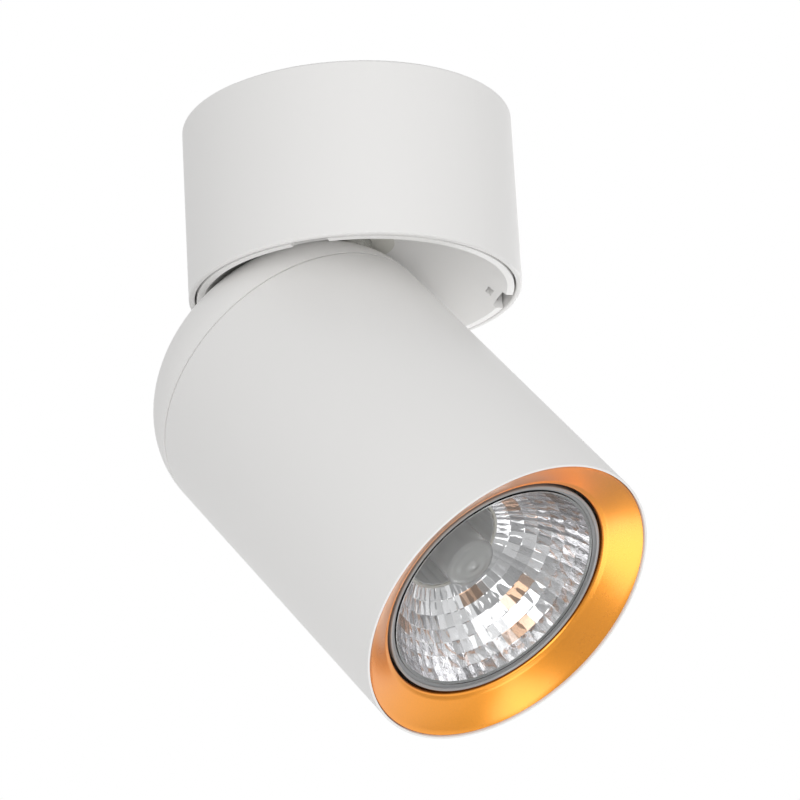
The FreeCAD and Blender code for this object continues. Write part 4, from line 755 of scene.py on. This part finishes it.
# %% Turn the cover glass
GLASS_EDGE, GLASS_SHARP = 0.3 * MM, 40.0
round_from = GLASS_RADIUS - GLASS_EDGE
flat_to = round_from - NEAR
glass_outline = traced(
    [(0.0, GLASS_FRONT), (flat_to, GLASS_FRONT)],
    bend((round_from, GLASS_FRONT + GLASS_EDGE), GLASS_EDGE, -90, 0, 6),
    bend((round_from, GLASS_BACK - GLASS_EDGE), GLASS_EDGE, 0, 90, 6),
    [(flat_to, GLASS_BACK), (0.0, GLASS_BACK)])
glass = turned("lamp_front_glass", glass_outline, GLASS_SHARP, ends_meet=False)
settle(glass, "lamp", "cover_glass", clear_glass, "lamp_cover_glass")

# %% [markdown]
# ## The floor
# The object hangs from a ceiling, so the floor is far below it. It is pale and plain, like the
# ground of a product picture, and it sends soft light back up under the head.

# %% Floor
FLOOR_LEVEL, FLOOR_HALF = -1.6, 6.0
floor_corners = [(x * FLOOR_HALF, y * FLOOR_HALF, FLOOR_LEVEL)
                 for x, y in ((-1, -1), (1, -1), (1, 1), (-1, 1))]
floor_mesh = bpy.data.meshes.new("floor")
floor_mesh.from_pydata(floor_corners, [], [(0, 1, 2, 3)])
floor = bpy.data.objects.new("floor", floor_mesh)
bpy.context.scene.collection.objects.link(floor)
finish(floor, grained("Pale floor", (0.92, 0.92, 0.92), roughness=0.6,
                      scale=20.0, tint=0.02, spread=0.05, bump=1e-4))
print("floor:", 2 * FLOOR_HALF, "m wide at", FLOOR_LEVEL, "m")

# %% [markdown]
# ## The world
# A white world gives even light from all sides. It lights the surfaces at about half strength, so
# that the lamps can shape them. Where it is seen itself, straight, in a reflection or through
# glass, it has full strength, which makes the background white.

# %% World
WORLD_LIGHT, WORLD_SEEN = 0.53, 1.0
SCENE = bpy.context.scene
SCENE.view_settings.view_transform = "Standard"
world = bpy.data.worlds.new("Studio")
SCENE.world = world
world.use_nodes = True
sky = world.node_tree
background = sky.nodes["Background"]
background.inputs["Color"].default_value = (1, 1, 1, 1)
path = add(sky, "ShaderNodeLightPath")
seen = add(sky, "ShaderNodeMath", operation="MAXIMUM")
seen_through = add(sky, "ShaderNodeMath", operation="MAXIMUM")
level = add(sky, "ShaderNodeMapRange", {"To Min": WORLD_LIGHT, "To Max": WORLD_SEEN})
join(sky, (path.outputs["Is Camera Ray"], seen.inputs[0]),
     (path.outputs["Is Glossy Ray"], seen.inputs[1]),
     (seen.outputs[0], seen_through.inputs[0]),
     (path.outputs["Is Transmission Ray"], seen_through.inputs[1]),
     (seen_through.outputs[0], level.inputs["Value"]),
     (level.outputs[0], background.inputs["Strength"]))
print("world:", WORLD_LIGHT, "on surfaces,", WORLD_SEEN, "where seen")

# %% [markdown]
# ## The camera
# The camera stands below and in front of the object and looks up at it through a long lens, from
# about 0.86 m away, where the photograph's outlines fit those of the CAD model. It is turned a
# little about its own line of sight, because the picture isn't level.

# %% Camera
LENS, SENSOR, FAR = 180.8, 36.0, 50
BEARING = Matrix.Rotation(math.radians(-0.8), 3, "Z")
ROLL = math.radians(3.3104)
STAND = BEARING @ Vector((0.523374, -0.617797, -0.350303))
AIM = BEARING @ Vector((0.006339, 0.005260, -0.063811))
camera_data = bpy.data.cameras.new("camera")
camera_data.lens, camera_data.sensor_width = LENS, SENSOR
camera_data.clip_end = FAR
camera = bpy.data.objects.new("camera", camera_data)
SCENE.collection.objects.link(camera)
SCENE.camera = camera
camera.location = STAND
look = (AIM - camera.location).to_track_quat("-Z", "Y")
camera.rotation_mode = "QUATERNION"
camera.rotation_quaternion = look @ Quaternion((0, 0, -1), ROLL)
print("camera:", tuple(round(v, 4) for v in camera.location))

# %% [markdown]
# ## The lamps of the studio
# All lamps are large squares, because small ones would draw hard shadows on the white coat. The key
# lamp is beside the camera, and a weaker one fills the front. One from below and a small one from
# the right put the bright spots on the gold ring, and a wide one behind lights the far sides.

# %% Lamps
CENTRE = Vector((0.01, 0, -0.07))
# Name: bearing and elevation in degrees, distance and size in metres, power in watts
LAMPS = {"key": (-58, -16, 1.6, 1.0, 6.2),
         "front": (-30, 3, 1.6, 0.9, 2.5),
         "below": (95, -80, 1.0, 0.52, 1.6),
         "right": (8, -34, 1.0, 0.34, 0.8),
         "back": (113, -2, 1.4, 1.2, 6.5)}


def soft_lamp(name, bearing, height, distance, size, power):
    """A square area lamp at a bearing and an elevation, aimed at the middle of the object."""
    data = bpy.data.lights.new(name, "AREA")
    data.size, data.energy = size, power
    lamp = bpy.data.objects.new(name, data)
    SCENE.collection.objects.link(lamp)
    b, h = math.radians(bearing), math.radians(height)
    towards = Vector((math.cos(b) * math.cos(h), math.sin(b) * math.cos(h), math.sin(h)))
    lamp.location = CENTRE + distance * towards
    lamp.rotation_mode = "QUATERNION"
    lamp.rotation_quaternion = (CENTRE - lamp.location).to_track_quat("-Z", "Y")


for name, values in LAMPS.items():
    soft_lamp(name, *values)
print("lamps:", ", ".join(LAMPS))
